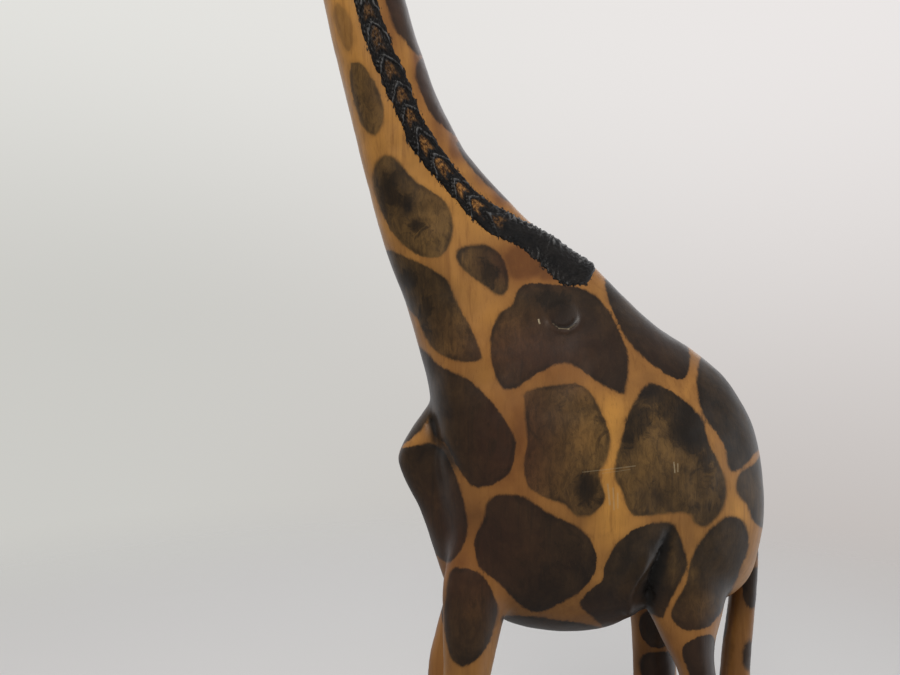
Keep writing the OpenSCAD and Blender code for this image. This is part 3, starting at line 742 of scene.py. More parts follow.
rails = spline(MANE, 16)
low_edge = np.array([on_body(r[:2])[0] for r in rails])
mid_line, mid_up = (np.array(v) for v in zip(*[on_body((r[:2] + r[2:]) / 2) for r in rails]))
high_edge = np.array([on_body(r[2:])[0] for r in rails])
for _ in range(12):
    for line in (low_edge, mid_line, high_edge, mid_up):
        line[1:-1] = (line[:-2] + 2 * line[1:-1] + line[2:]) / 4
run = np.concatenate([[0], np.cumsum(np.linalg.norm(np.diff(mid_line, axis=0), axis=1))])
length = run[-1]
along = np.arange(0, length, STEP)


def resample(line):
    return np.stack([np.interp(along, run, line[:, k]) for k in range(3)], 1)


# Down the mane: its low edge, middle, high edge, the way out of the body, and its half width.
LOW, MID, HIGH, OUT = resample(low_edge), resample(mid_line), resample(high_edge), resample(mid_up)
OUT /= np.linalg.norm(OUT, axis=1)[:, None]
HALF = (np.linalg.norm(LOW - MID, axis=1) + np.linalg.norm(HIGH - MID, axis=1)) / 2
down, aside = np.meshgrid(along, across_at, indexing="ij")
rest = length - down
low_end = 1 - smoothstep(58, 86, rest)
grain = np.array([[noise.noise(Vector((s * 0.35, u * 2.2, 9.1))) for u in across_at] for s in along])
hair = np.array([[noise.noise(Vector((s * 0.5, u * 9.0, 1.7))) for u in across_at] for s in along])
drift = np.array([noise.noise(Vector((s * 0.06, 3.3, 0))) for s in along])[:, None]
arm = np.sqrt(aside ** 2 + 0.02) * HALF[:, None] * 1.55
tuft = (down + 7.0 * drift - arm + 1.0 * grain) / TUFT
frac = tuft - np.floor(tuft)
odd = np.sin(np.floor(tuft) * 2.4)
tooth = (down - 0.5 * arm * (aside > 0) + 2.6 * grain + 2.0 * drift) / 7.0
tooth -= np.floor(tooth)
strand = 0.5 + 0.5 * np.sin(aside * HALF[:, None] * 4.4 + 3.0 * grain + 2.0 * hair)
edge = np.where(aside[..., None] > 0, HIGH[:, None, :] - MID[:, None, :], LOW[:, None, :] - MID[:, None, :])
flat = MID[:, None, :] + edge * np.abs(aside)[..., None]
hang_x = side_view(flat.reshape(-1, 3))[:, 0].reshape(aside.shape)
clump = np.array([noise.noise(Vector((s * 0.24, 7.7, 0))) for s in along])[:, None]
hang = 0.5 + 0.5 * np.sin(hang_x * 1.9 + 0.5 * aside + 5.0 * clump + 1.6 * grain)
# Each tuft is a scale: a thin raised lip, a hollow under it, a rib down the middle.
lip = bell(frac - 0.07, 0.055)
rib = bell(aside, 0.22) * band(frac, 0.2, 0.8, 0.12)
scale_h = 1.7 + 1.5 * lip + 0.9 * (1 - frac) + 0.8 * rib + 0.45 * (strand - 0.5) + 0.35 * hair
low_lip = bell(tooth - 0.1, 0.09) * smoothstep(0.15, 0.55, aside)
low_h = 2.5 + 0.3 * low_lip + 0.5 * (hang - 0.5) * smoothstep(0.1, 0.6, aside) + 0.35 * hair
low_h -= 0.5 * smoothstep(0.3, -0.7, aside)
ragged = 0.10 * hair + 0.05 * grain
reach_up = (1 - low_end) * (1.1 - 0.18 * np.abs(frac - 0.85)) + low_end * (1.03 + 0.14 * hang)
reach_low = (1 - low_end) * (1.14 - 0.26 * np.abs(frac - 0.8)) + low_end * (1.02 + 0.10 * hang)
reach = np.where(aside > 0, reach_up, reach_low) + ragged * np.abs(aside) ** 3
profile = np.clip(1 - np.abs(aside) ** 6, 0, 1) ** 0.6
height = profile * ((1 - low_end) * scale_h + low_end * low_h)
height *= (0.65 + 0.35 * np.clip(HALF / 7, 0, 1))[:, None]
height *= np.sqrt(np.clip(1 - ((6 - rest) / 6).clip(0, 1) ** 2, 0, 1)) * smoothstep(0, 4, down)
verts = np.empty((len(along), COLS, 3))
for i in range(len(along)):
    for j in range(COLS):
        edge = HIGH[i] if across_at[j] > 0 else LOW[i]
        place = MID[i] + (edge - MID[i]) * abs(across_at[j]) * reach[i, j]
        q, n, _, _ = BODY_TREE.find_nearest(Vector(place))
        n = 0.6 * np.array(n) + 0.4 * OUT[i]
        verts[i, j] = np.array(q) + n / np.linalg.norm(n) * (height[i, j] - 0.8)
mane_mesh = bpy.data.meshes.new("mane")
faces = []
for i in range(len(along) - 1):
    for j in range(COLS - 1):
        a = i * COLS + j
        faces.append((a, a + COLS, a + COLS + 1, a + 1))
mane_mesh.from_pydata((verts.reshape(-1, 3) * MM).tolist(), [], faces)
mane_mesh.update()
if np.mean(normals(mane_mesh).reshape(len(along), COLS, 3)[:, COLS // 2] * OUT) < 0:
    mane_mesh.flip_normals()
mane = new_object("mane", mane_mesh)
core = band(frac, 0.27 + 0.06 * odd, 0.74, 0.09)
core *= 1 - smoothstep(0.2, 0.5, np.abs(aside + 0.04) + 0.12 * hair)
core = core * (1 - low_end) * smoothstep(-0.5, 0.15, hair + 0.3 + 0.3 * odd)
core = core * (1 - 0.7 * smoothstep(370, 260, down))
pale_lip = bell(frac - 0.09, 0.035) * (1 - low_end) * smoothstep(-0.4, 0.4, hair + 0.15)
hair_ends = smoothstep(0.72, 0.98, hang) * smoothstep(0.2, 0.85, aside + 0.5 * clump)
pale_low = low_end * np.maximum(low_lip * smoothstep(0.3, 0.6, aside), hair_ends)
add_attr(mane_mesh, "core", core.ravel())
add_attr(mane_mesh, "tip", np.maximum(pale_lip, pale_low * smoothstep(-0.4, 0.3, hair)).ravel())


# ------------------------------ tail, ears, horns, eyes, plug
# Spots on the tail: height, angle (0 at the rear), half height, half width.
TAIL_MARKS = [
    (376, 0, 11, 7), (348, 60, 12, 6), (350, -45, 14, 6.5), (322, 150, 11, 6), (307, -58, 10, 5.5),
    (300, 70, 10, 6), (282, 170, 10, 6), (262, -80, 11, 6), (256, 60, 9, 6)]
TAIL_X, TAIL_RADIUS, TAIL_SIDES, TAIL_RINGS = 149, 9.5, 48, 12
# The section is a rounded square: this is the power that flattens its sides.
SQUARENESS = 0.75


def tail_rings():
    a = -around(TAIL_SIDES)
    c = np.sign(np.cos(a)) * np.abs(np.cos(a)) ** SQUARENESS
    b = np.sign(np.sin(a)) * np.abs(np.sin(a)) ** SQUARENESS
    return [np.stack([(s[1] + s[2]) / 2 + (s[2] - s[1]) / 2 * c, s[4] + s[3] * b,
                      np.full(TAIL_SIDES, s[0])], 1) for s in spline(TAIL, TAIL_RINGS)]


def make_tail():
    shell = Shell()
    shell.add(tail_rings())
    o = fused(shell, "tail_carved", TAIL_GRID)
    v = relax(coords(o.data), edges_of(o.data), 5, np.ones(len(o.data.vertices)))
    set_coords(o.data, v)
    n = normals(o.data)
    angle = np.arctan2(v[:, 1], v[:, 0] - TAIL_X)
    tuft = 1 - smoothstep(232, 242, v[:, 2] + 3 * wobble(v, 0.2, 5))
    lock = np.sin(angle * 9 + v[:, 2] * 0.16 + 2 * wobble(v, 0.09, 6))
    v = v + n * (tuft * (0.9 * lock + 0.3) + 0.2 * wobble(v, 0.08, 7))[:, None]
    set_coords(o.data, v)
    spots = np.full(len(v), NO_SPOT)
    for height, degrees, rz, ra in TAIL_MARKS:
        spots = np.maximum(spots, oval(v[:, 2] - height, turned(angle, degrees) * TAIL_RADIUS, rz, ra))
    # Painted shadow: the tail's front side, facing the rump and the near hind leg, is darkened.
    front = 0.5 * smoothstep(0.25, 0.85, -np.cos(angle) + 0.25 * wobble(v, 0.1, 5))
    add_maps(o.data, spot=spots, warm=np.full(len(v), 0.45), olive=np.full(len(v), 0.2),
             black=np.maximum(np.maximum(tuft, 0.22), front))
    return o


# Ears: share of the length; half width and thickness as a share of the width; how hollow.
EAR = [
    [0, 0.13, 0.13, 0], [0.12, 0.26, 0.19, 0.1], [0.3, 0.43, 0.19, 0.5], [0.5, 0.5, 0.17, 0.7],
    [0.7, 0.46, 0.15, 0.7], [0.87, 0.32, 0.12, 0.5], [0.97, 0.16, 0.09, 0.2], [1, 0.05, 0.05, 0]]
EAR_L, EAR_W, EAR_SIDES, EAR_RINGS = 58, 27, 64, 10
EAR_ROOT = [-0.14, 0.12, 0.13, 0]
EAR_SPOTS = [(3, 16, 5), (-5, 30, 5.5), (5, 42, 5), (-2, 52, 4)]
EAR_PLACE, EAR_LEAN, EAR_SPLAY = (-12, 18.5, 11), -38, 54
HORN_PLACE, HORN_LEAN, HORN_SPLAY = (-3, 9.7, 18), -26, 4
HORN_L, HORN_D = 38, 13
EYE_R, EYE_TILT = 4.5, 12
# Radius and height of the eye bead and of the knot plug, from the edge to the middle.
EYE_PROFILE = [
    [EYE_R, -4], [EYE_R, 0.8], [EYE_R * 0.87, 1.9], [EYE_R * 0.62, 2.8], [EYE_R * 0.32, 3.3], [0, 3.45]]
PLUG_PROFILE = [[7.2, -12], [7.3, -1.8], [7.2, -0.8], [6.7, -0.4], [4, -0.3], [0, -0.25]]
PLUG_TURN, PLUG_TILT = 4, 64


def turn(degrees, axis):
    return Matrix.Rotation(math.radians(degrees), 4, axis)


def placed(place, side, splay, lean):
    return (HEAD @ Matrix.Translation(Vector((place[0], -side * place[1], place[2])))
            @ turn(lean, "Y") @ turn(side * splay, "X"))


def through(m, p):
    m = np.array(m)
    return np.asarray(p) @ m[:3, :3].T + m[:3, 3]


def make_ear(name, side):
    face = -side
    ang = face * around(EAR_SIDES)
    rings = []
    for s in [EAR_ROOT] + spline(EAR, EAR_RINGS).tolist():
        dish = np.where(np.sin(ang) > 0, 1.0, 1 - 1.6 * s[3] * np.abs(np.sin(ang)))
        rings.append(np.stack([s[1] * EAR_W * np.cos(ang), face * s[2] * EAR_W * np.sin(ang) * dish,
                               np.full(EAR_SIDES, s[0] * EAR_L)], 1))
    shell = Shell()
    shell.add(rings)
    o = fused(shell, name, EAR_GRID)
    v = relax(coords(o.data), edges_of(o.data), 6, np.ones(len(o.data.vertices)))
    inner = 1 - (v[:, 0] / (0.42 * EAR_W)) ** 2 - ((v[:, 2] / EAR_L - 0.5) / 0.42) ** 2
    inner = smoothstep(0.3, 0.8, inner) * smoothstep(0.5, -1.5, v[:, 1] * face)
    spots = np.full(len(v), NO_SPOT)
    for cx, cz, radius in EAR_SPOTS:
        d = radius - np.hypot(v[:, 0] - cx, v[:, 2] - cz)
        spots = np.maximum(spots, np.where(v[:, 1] * face > 0, d, NO_SPOT))
    v[:, 1] += 0.35 * wobble(v, 0.12, 8 + side)
    set_coords(o.data, through(placed(EAR_PLACE, side, EAR_SPLAY, EAR_LEAN), v))
    add_maps(o.data, spot=spots, warm=0.9 * inner, black=0.62 * inner, olive=np.full(len(v), 0.2))
    return o


def revolve(name, outline, matrix, sides=48):
    ang = around(sides)
    rings = []
    for r, h in np.array(outline, float):
        r = max(r, 0.02)
        rings.append(through(matrix, np.stack([r * np.cos(ang), r * np.sin(ang), np.full(sides, h)], 1)))
    shell = Shell()
    shell.add(rings)
    return new_object(name, shell.mesh(name))


def make_horn(name, side):
    r = HORN_D / 2
    prof = spline([[r, -10], [r, 0], [r, HORN_L * 0.12], [r * 0.86, HORN_L * 0.45], [r * 0.9, HORN_L * 0.7],
                   [r * 1.05, HORN_L * 0.86], [r * 0.95, HORN_L * 0.96], [r * 0.6, HORN_L], [0, HORN_L]], 8)
    o = revolve(name, prof, Matrix.Identity(4), 64)
    v = coords(o.data)
    ang = np.arctan2(v[:, 1], v[:, 0])
    flute = 1 + 0.02 * np.sin(ang * 11 + 0.2 * v[:, 2]) + 0.02 * wobble(v, 0.25, 12 + side)
    v[:, :2] *= flute[:, None]
    set_coords(o.data, through(placed(HORN_PLACE, side, HORN_SPLAY, HORN_LEAN), v))
    return o


def make_eye(name, side):
    m = placed(EYE_PLACE, side, 90, 0) @ turn(EYE_TILT, "Y")
    return revolve(name, spline(EYE_PROFILE, 6), m)


tail = make_tail()
ears = [make_ear("ear_left_carved", -1), make_ear("ear_right_carved", 1)]
horns = [make_horn("horn_left_carved", -1), make_horn("horn_right_carved", 1)]
eyes = [make_eye("eye_left_bead", -1), make_eye("eye_right_bead", 1)]
plug = revolve("knot_plug_face", spline(PLUG_PROFILE, 6),
               Matrix.Translation(Vector(PLUG)) @ turn(PLUG_TURN, "Z") @ turn(PLUG_TILT, "X"))


# ------------------------------ materials
class Net:
    """Short names for the shader nodes used below. A value may be a number, a colour or a socket."""

    def __init__(self, nt):
        self.nt = nt
        nt.nodes.clear()

    def put(self, socket, value):
        if isinstance(value, bpy.types.NodeSocket):
            self.nt.links.new(value, socket)
        else:
            socket.default_value = value

    def add(self, kind, *values, **settings):
        """A new node: its settings, then its first inputs in their order."""
        n = self.nt.nodes.new("ShaderNode" + kind)
        for key, setting in settings.items():
            setattr(n, key, setting)
        for socket, value in zip(n.inputs, values):
            self.put(socket, value)
        return n

    def attr(self, name):
        return self.add("Attribute", attribute_name=name).outputs["Fac"]

    def axes(self, coordinates="Object"):
        return self.add("SeparateXYZ", self.add("TexCoord").outputs[coordinates]).outputs

    def noise(self, stretch, detail, rough, distort=0.0):
        place = self.add("Mapping", self.add("TexCoord").outputs["Object"])
        place.inputs["Scale"].default_value = stretch
        n = self.add("TexNoise", place.outputs[0])
        given = {"Scale": 1.0, "Detail": detail, "Roughness": rough, "Distortion": distort}
        for name, value in given.items():
            n.inputs[name].default_value = value
        return n.outputs["Fac"]

    def math(self, op, a, b=0.0, clamp=False):
        return self.add("Math", a, b, operation=op, use_clamp=clamp).outputs[0]

    def plus(self, a, b, clamp=False):
        return self.math("ADD", a, b, clamp)

    def minus(self, a, b):
        return self.math("SUBTRACT", a, b)

    def times(self, a, b, clamp=False):
        return self.math("MULTIPLY", a, b, clamp)

    def about(self, value, middle, amount):
        """How far a value is from its middle, times an amount."""
        return self.times(self.minus(value, middle), amount)

    def ramp(self, value, lo, hi, a=0.0, b=1.0):
        return self.add("MapRange", value, lo, hi, a, b, interpolation_type="SMOOTHSTEP").outputs[0]

    def mix(self, fac, a, b):
        n = self.add("Mix", fac, data_type="RGBA")
        self.put(n.inputs[6], a)
        self.put(n.inputs[7], b)
        return n.outputs[2]

    def bump(self, height, strength, distance):
        n = self.add("Bump")
        self.put(n.inputs["Height"], height)
        n.inputs["Strength"].default_value = strength
        n.inputs["Distance"].default_value = distance
        return n.outputs[0]


class Paint(Net):
    """A new material: its nodes, and its one principled shader."""

    def __init__(self, name):
        self.material = bpy.data.materials.new(name)
        self.material.use_nodes = True
        super().__init__(self.material.node_tree)
        self.bsdf = self.add("BsdfPrincipled")
        self.add("OutputMaterial", self.bsdf.outputs[0])

    def set(self, name, value):
        self.put(self.bsdf.inputs[name], value)


def rgb(r, g, b):
    return (r, g, b, 1.0)


def stroke(g, axes, a, b, width):
    """1 on a thin straight line from a to b (x, z in mm as the side of the body shows them), 0 off it."""
    (ax, az), (bx, bz) = a, b
    reach = math.hypot(bx - ax, bz - az)
    ux, uz = (bx - ax) / reach, (bz - az) / reach
    dx = g.minus(axes[0], (ax + SHIFT[0]) * MM)
    dz = g.minus(axes[2], az * MM)
    t = g.plus(g.times(dx, ux), g.times(dz, uz))
    d = g.math("ABSOLUTE", g.minus(g.times(dx, uz), g.times(dz, ux)))
    past = g.math("MAXIMUM", g.minus(t, reach * MM), g.times(t, -1))
    return g.ramp(g.math("MAXIMUM", d, past), width * MM * 0.4, width * MM, 1.0, 0.0)


# Pale strokes: from, to (x, z in mm), width, strength. Most are scratches and nicks; the three strokes
# round the knot's lower edge are a painted highlight on its rim, and the short upright stroke at x 16.5, z
# 519 is a painted glint.
SCRATCHES_AND_HIGHLIGHTS = [
    ((25, 518.4), (28.5, 515.6), 0.5, 0.3), ((28.5, 515.6), (34, 515.2), 0.6, 0.45),
    ((34, 515.2), (38, 517.6), 0.5, 0.3), ((39, 433), (69, 436.5), 0.4, 0.28),
    ((50, 432.4), (66, 434.6), 0.3, 0.2), ((92, 438), (92.2, 432.5), 0.55, 0.55),
    ((94.2, 437.2), (94.0, 433), 0.5, 0.45), ((16.3, 520.6), (16.7, 518.6), 0.7, 1.2),
    ((53, 426), (54, 415), 0.8, 0.35), ((56, 424), (56.4, 412), 0.6, 0.35),
    ((58.5, 421), (58.6, 413), 0.6, 0.3)]
# Grain that curves past the edge of the middle patch: centre x, z; radius.
RINGS = [((57, 447), 9.0), ((58, 446), 11.2)]


def carved_wood():
    g = Paint("carved_wood")
    fine = g.noise((1000, 1000, 60), 5, 0.65)
    streak = g.noise((300, 300, 12), 4, 0.6, 0.4)
    figure = g.noise((60, 60, 7), 3, 0.5, 1.2)
    cloud = g.noise((24, 24, 19), 5, 0.6)
    brush = g.noise((240, 240, 110), 6, 0.75, 0.6)
    soft = g.noise((70, 70, 55), 3, 0.5)
    burn = g.noise((60, 60, 42), 6, 0.7, 0.6)
    speck = g.noise((620, 620, 420), 3, 0.6)
    axes = g.axes()
    near = g.ramp(axes[1], -0.03, -0.02, 1.0, 0.0)
    # bare waxed wood: yellow ochre, redder and darker where it is warm
    wood = g.mix(g.ramp(figure, 0.32, 0.68), rgb(0.40, 0.185, 0.050), rgb(0.52, 0.245, 0.062))
    # Paler ochre from the pale map: pale wood, and painted sheen at the rump's rear edge.
    wood = g.mix(g.attr("pale"), wood, rgb(0.70, 0.335, 0.074))
    reddened = g.times(g.attr("warm"), g.ramp(soft, 0.25, 0.7, 0.75, 1.0), clamp=True)
    wood = g.mix(reddened, wood, rgb(0.27, 0.108, 0.032))
    wood = g.mix(g.ramp(g.plus(g.attr("warm"), g.about(soft, 0.5, 0.9)), 0.85, 1.3, 0.0, 0.75),
                 wood, rgb(0.15, 0.057, 0.02))
    wood = g.mix(g.ramp(streak, 0.46, 0.76, 0.0, 0.5), wood, rgb(0.24, 0.10, 0.028))
    wood = g.mix(g.ramp(fine, 0.54, 0.8, 0.0, 0.5), wood, rgb(0.17, 0.07, 0.02))
    wood = g.mix(g.ramp(cloud, 0.35, 0.8, 0.0, 0.3), wood, rgb(0.26, 0.12, 0.04))
    dirt = g.times(g.ramp(burn, 0.5, 0.72), g.ramp(brush, 0.42, 0.62, 0.0, 0.42))
    wood = g.mix(dirt, wood, rgb(0.20, 0.078, 0.026))
    # scorched patches: blackish brown, thinner ones olive, or brown where the wood is warm
    dark = g.mix(g.ramp(burn, 0.3, 0.7), rgb(0.020, 0.0145, 0.0100), rgb(0.044, 0.028, 0.0165))
    dark = g.mix(g.times(g.attr("warm"), 0.7), dark, rgb(0.058, 0.027, 0.0165))
    drab = g.mix(g.attr("warm"), rgb(0.235, 0.130, 0.042), rgb(0.150, 0.064, 0.028))
    drab = g.mix(g.ramp(brush, 0.32, 0.66), g.mix(0.62, drab, rgb(0.03, 0.02, 0.013)), drab)
    uneven = g.plus(g.times(g.attr("olive"), 1.1), 0.4)
    amount = g.plus(g.attr("olive"), g.about(burn, 0.52, uneven), clamp=True)
    patch = g.mix(amount, dark, drab)
    patch = g.mix(g.ramp(streak, 0.48, 0.8, 0.0, 0.5), patch, rgb(0.024, 0.017, 0.012))
    patch = g.mix(g.ramp(fine, 0.58, 0.85, 0.0, 0.6), patch, rgb(0.12, 0.072, 0.03))
    mottle = g.noise((95, 95, 70), 6, 0.75, 1.0)
    patch = g.mix(g.ramp(mottle, 0.54, 0.70, 0.0, 0.6), patch, rgb(0.026, 0.0175, 0.011))
    blot = g.plus(g.attr("blot"), g.about(mottle, 0.5, 26.0))
    blot = g.plus(blot, g.about(brush, 0.5, 9.0))
    patch = g.mix(g.times(g.ramp(blot, -3.0, 2.2, 0.0, 0.88), g.ramp(fine, 0.25, 0.6, 1.0, 0.75)), patch,
                  rgb(0.017, 0.0125, 0.009))
    thin = g.ramp(g.attr("olive"), 0.9, 1.6, 0.0, 0.6)
    edge = g.plus(g.attr("spot"), g.about(brush, 0.5, 4.2))
    edge = g.plus(edge, g.about(soft, 0.5, 2.5))
    width = g.ramp(cloud, 0.35, 0.7, 0.45, 1.5)
    inside = g.ramp(edge, g.times(width, -1), width)
    halo = g.ramp(edge, -3.0, 0.2, 0.0, 0.30)
    rim = g.times(g.ramp(edge, 0.0, 1.4), g.ramp(edge, 1.4, 4.5, 1.0, 0.0))
    wood = g.mix(halo, wood, rgb(0.24, 0.105, 0.03))
    patch = g.mix(g.times(rim, g.ramp(soft, 0.4, 0.7, 0.0, 0.6)), patch, rgb(0.022, 0.015, 0.010))
    colour = g.mix(inside, wood, g.mix(thin, patch, wood))
    for place, r in RINGS:
        dx = g.minus(axes[0], (place[0] + SHIFT[0]) * MM)
        dz = g.minus(axes[2], place[1] * MM)
        d = g.math("SQRT", g.plus(g.times(dx, dx), g.times(dz, dz)))
        d = g.math("ABSOLUTE", g.minus(d, r * MM))
        ring = g.times(g.ramp(d, 0.0002, 0.0008, 0.45, 0.0), near)
        ring = g.times(ring, g.ramp(dx, -0.004, 0.002, 1.0, 0.0))
        ring = g.times(ring, g.ramp(dz, -0.006, 0.002))
        colour = g.mix(g.times(ring, inside), colour, rgb(0.028, 0.018, 0.012))
    # Pale strokes: scratches, and painted highlights on the knot's rim and beside the knot.
    for a, b, width_mm, strength in SCRATCHES_AND_HIGHLIGHTS:
        line = g.times(stroke(g, axes, a, b, width_mm), near)
        colour = g.mix(g.times(line, g.ramp(speck, 0.3, 0.5, strength * 0.5, strength)), colour,
                       rgb(0.52, 0.42, 0.26))
    colour = g.mix(g.ramp(speck, 0.72, 0.8, 0.0, 0.45), colour, rgb(0.05, 0.03, 0.015))
    # Near black: dyed hooves, dark muzzle, eyes, inner ears and tail tuft, painted shade in the cuts and on
    # the tail's front, and the runs round the mane.
    runs = g.noise((420, 420, 130), 4, 0.7)
    drip = g.plus(g.attr("drip"), g.about(runs, 0.52, 17.0))
    black = g.math("MAXIMUM", g.attr("black"), g.ramp(drip, -0.3, 0.3))
    colour = g.mix(g.times(black, g.ramp(burn, 0.2, 0.6, 0.9, 1.0)), colour, rgb(0.0125, 0.0105, 0.009))
    g.set("Base Color", colour)
    rough = g.ramp(cloud, 0.3, 0.7, 0.36, 0.46)
    rough = g.plus(rough, g.about(fine, 0.5, 0.14))
    g.set("Roughness", rough)
    g.set("IOR", 1.45)
    g.set("Specular IOR Level", 0.3)
    g.set("Coat Weight", 0.1)
    g.set("Coat Roughness", 0.25)
    h = g.plus(g.times(fine, 0.5), g.times(streak, 0.5))
    h = g.minus(h, g.times(inside, 0.12))
    g.set("Normal", g.bump(h, 0.22, 0.0006))
    return g.material


def mane_paint():
    g = Paint("mane_paint")
    fine = g.noise((800, 800, 500), 5, 0.65)
    broad = g.noise((120, 120, 120), 4, 0.6)
    base = g.mix(g.ramp(broad, 0.3, 0.7), rgb(0.0045, 0.0041, 0.0040), rgb(0.0125, 0.0105, 0.0092))
    brown = g.mix(g.ramp(fine, 0.35, 0.65), rgb(0.16, 0.062, 0.016), rgb(0.50, 0.235, 0.060))
    base = g.mix(g.times(g.attr("core"), g.ramp(fine, 0.3, 0.6, 0.3, 1.0)), base, brown)
    base = g.mix(g.times(g.attr("tip"), g.ramp(fine, 0.3, 0.6, 0.3, 0.95)), base, rgb(0.26, 0.255, 0.25))
    g.set("Base Color", base)
    g.set("Roughness", g.ramp(fine, 0.3, 0.7, 0.34, 0.6))
    g.set("IOR", 1.45)
    g.set("Specular IOR Level", 0.3)
    g.set("Normal", g.bump(fine, 0.35, 0.0006))
    return g.material


def plain_paint(name, broad, tones, fine=None, fleck=None, rough=None, coat=None, bump=None):
    """Two tones by a broad noise and flecks by a fine one; roughness and bump say which they follow."""
    g = Paint(name)
    wave = g.noise(*broad)
    base = g.mix(g.ramp(wave, *tones[:2]), tones[2], tones[3])
    grain = wave
    if fine:
        grain = g.noise(*fine)
        base = g.mix(g.ramp(grain, fleck[0], 0.8, 0.0, fleck[1]), base, fleck[2])
    by = {"broad": wave, "fine": grain}
    g.set("Base Color", base)
    g.set("Roughness", g.ramp(by[rough[0]], 0.3, 0.7, *rough[1:]))
    if coat:
        g.set("Coat Weight", coat[0])
        g.set("Coat Roughness", coat[1])
    if bump:
        g.set("Normal", g.bump(by[bump[0]], *bump[1:]))
    return g.material


black_wood = plain_paint(
    "black_wood",
    ((160, 160, 90), 4, 0.6), (0.35, 0.75, rgb(0.010, 0.009, 0.008), rgb(0.035, 0.026, 0.018)),
    ((500, 500, 120), 5, 0.65), (0.62, 0.5, rgb(0.10, 0.06, 0.03)),
    rough=("fine", 0.36, 0.52), coat=(0.25, 0.3), bump=("fine", 0.3, 0.0006))
eye_gloss = plain_paint(
    "eye_gloss",
    ((300, 300, 300), 3, 0.5), (0.4, 0.7, rgb(0.006, 0.005, 0.004), rgb(0.02, 0.012, 0.008)),
    rough=("broad", 0.1, 0.18), coat=(0.8, 0.06))
plug_wood = plain_paint(
    "plug_wood",
    ((380, 380, 120), 4, 0.6, 0.8), (0.3, 0.7, rgb(0.035, 0.022, 0.014), rgb(0.07, 0.04, 0.022)),
    ((900, 900, 400), 4, 0.6), (0.6, 0.5, rgb(0.02, 0.014, 0.01)),
    rough=("broad", 0.3, 0.42), coat=(0.4, 0.2), bump=("broad", 0.25, 0.0005))
bare_wood = plain_paint(
    "bare_dowel_wood",
    ((420, 420, 30), 4, 0.6), (0.3, 0.7, rgb(0.55, 0.36, 0.19), rgb(0.70, 0.50, 0.29)),
    ((1200, 1200, 90), 4, 0.6), (0.55, 0.4, rgb(0.35, 0.2, 0.09)),
    rough=("fine", 0.55, 0.7), bump=("fine", 0.3, 0.0004))
MAT = {"wood": carved_wood(), "mane": mane_paint(), "horn_wood": black_wood, "eye": eye_gloss,
       "plug_wood": plug_wood, "bare_wood": bare_wood}


def finish_piece(o, mat, replaces=None):
    o.data.materials.clear()
    o.data.materials.append(MAT[mat])
    smooth_shade(o.data)
    if "keep" in o.data.attributes:
        n = np.empty(len(o.data.vertices) * 3)
        o.data.attributes["keep"].data.foreach_get("vector", n)
        o.data.normals_split_custom_set_from_vertices(n.reshape(-1, 3).tolist())
        o.data.attributes.remove(o.data.attributes["keep"])
    o.data.transform(Matrix.Translation(Vector(SHIFT * MM)))
    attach(o, "root")
    if replaces:
        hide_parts(replaces)


for name, o in pieces.items():
    finish_piece(o, "wood", name)
finish_piece(mane, "mane")
finish_piece(tail, "wood", "tail")
for o, n in zip(ears, ("ear_left", "ear_right")):
    finish_piece(o, "wood", n)
for o, n in zip(horns, ("horn_left", "horn_right")):
    finish_piece(o, "horn_wood", n)
for o, n in zip(eyes, ("eye_left", "eye_right")):
    finish_piece(o, "eye", n)
finish_piece(plug, "plug_wood", "knot_plug")
for name, o in nodes.items():
    if "dowel" in name:
        o.data.materials.clear()
        o.data.materials.append(MAT["bare_wood"])

# ------------------------------ floor, light, camera
# A round floor that fades out far from the statue: a fan in the middle, then rings (m).
FLOOR_RADII, FLOOR_SIDES = [0.4, 0.9, 1.4, 2.0, 2.6], 96
floor_verts = [(0, 0, 0)]
floor_faces = [(0, 1 + i, 1 + (i + 1) % FLOOR_SIDES) for i in range(FLOOR_SIDES)]
for r in FLOOR_RADII:
    floor_verts += [(r * math.cos(t), r * math.sin(t), 0) for t in around(FLOOR_SIDES)]
for k in range(len(FLOOR_RADII) - 1):
    for i in range(FLOOR_SIDES):
        a, b = 1 + k * FLOOR_SIDES + i, 1 + k * FLOOR_SIDES + (i + 1) % FLOOR_SIDES
        floor_faces.append((a, a + FLOOR_SIDES, b + FLOOR_SIDES, b))
floor_me = bpy.data.meshes.new("floor")
floor_me.from_pydata(floor_verts, [], floor_faces)
floor = new_object("floor", floor_me)
paper = bpy.data.materials.new("floor_paper")
paper.use_nodes = True
g = Net(paper.node_tree)
seen = g.add("BsdfDiffuse", rgb(0.80, 0.79, 0.775))
clear = g.add("BsdfTransparent")
far = g.add("VectorMath", g.add("TexCoord").outputs["Object"], operation="LENGTH")
fade = g.add("MixShader", g.ramp(far.outputs["Value"], 0.75, 1.9), seen.outputs[0], clear.outputs[0])
g.add("OutputMaterial", fade.outputs[0])
floor.data.materials.append(paper)
floor.visible_glossy = False
floor.visible_diffuse = False

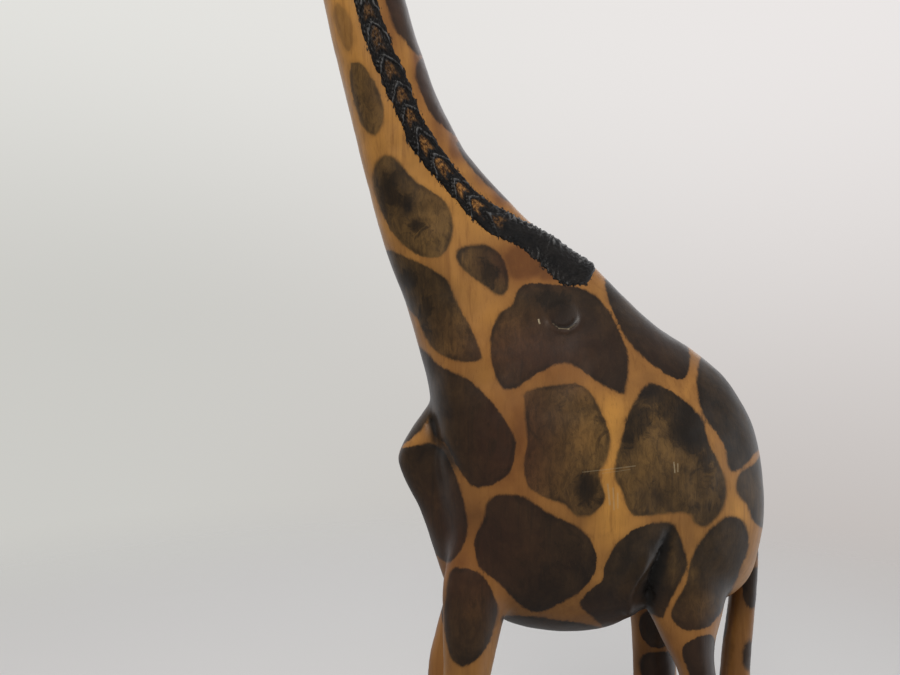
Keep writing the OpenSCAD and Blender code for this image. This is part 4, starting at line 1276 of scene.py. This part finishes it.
scene = bpy.context.scene
world = bpy.data.worlds.new("studio")
scene.world = world
world.use_nodes = True
g = Net(world.node_tree)
sky = g.axes("Generated")
on_left = g.mix(g.ramp(sky["Z"], 0.0, 0.45), rgb(0.60, 0.595, 0.565), rgb(0.77, 0.765, 0.735))
on_right = g.mix(g.ramp(sky["Z"], -0.4, 0.42), rgb(0.52, 0.485, 0.465), rgb(0.83, 0.80, 0.79))
seen = g.add("Background", g.mix(g.ramp(sky["X"], -0.5, 0.5), on_left, on_right))
dim = g.mix(g.ramp(sky["Z"], 0.0, 0.9), rgb(0.05, 0.05, 0.053), rgb(0.24, 0.24, 0.25))
lit = g.mix(g.ramp(sky["Y"], -0.25, 0.75), dim, rgb(0.80, 0.80, 0.82))
lit = g.mix(g.ramp(sky["Z"], -0.35, -0.02, 0.85, 0.0), lit, rgb(0.27, 0.27, 0.268))
side = g.times(g.ramp(sky["X"], 0.5, 0.92), g.ramp(sky["Z"], 0.05, 0.45, 1.0, 0.0))
light = g.add("Background", g.mix(side, lit, rgb(1.35, 1.38, 1.44)), 0.9)
both = g.add("MixShader", g.add("LightPath").outputs["Is Camera Ray"], light.outputs[0], seen.outputs[0])
g.add("OutputWorld", both.outputs[0])


def area(name, place, target, size, power, colour):
    l = bpy.data.lights.new(name, "AREA")
    l.shape = "RECTANGLE"
    l.size, l.size_y = size
    l.energy = power
    l.color = colour
    o = bpy.data.objects.new(name, l)
    scene.collection.objects.link(o)
    o.location = place
    o.rotation_mode = "QUATERNION"
    o.rotation_quaternion = (Vector(place) - Vector(target)).to_track_quat("Z", "Y")
    o.visible_camera = False
    return o


area("key", (-0.6, -1.3, 2.0), (0, 0, 0.5), (0.9, 0.7), 27, (1.0, 0.97, 0.93))
area("fill", (1.5, -0.75, 0.7), (0.1, 0, 0.4), (0.9, 0.9), 2, (0.97, 0.98, 1.0))
area("back", (0.3, 1.8, 1.5), (0, 0, 0.5), (2.4, 1.6), 9, (0.97, 0.98, 1.0))

cam = bpy.data.cameras.new("camera")
cam.lens = 28
cam.sensor_width = 36
camera = bpy.data.objects.new("camera", cam)
scene.collection.objects.link(camera)
camera.location = Vector((EYE + SHIFT) * MM)
camera.rotation_euler = (math.radians(90), 0, 0)
cam.clip_start = 0.01
scene.camera = camera
scene.view_settings.view_transform = "Standard"
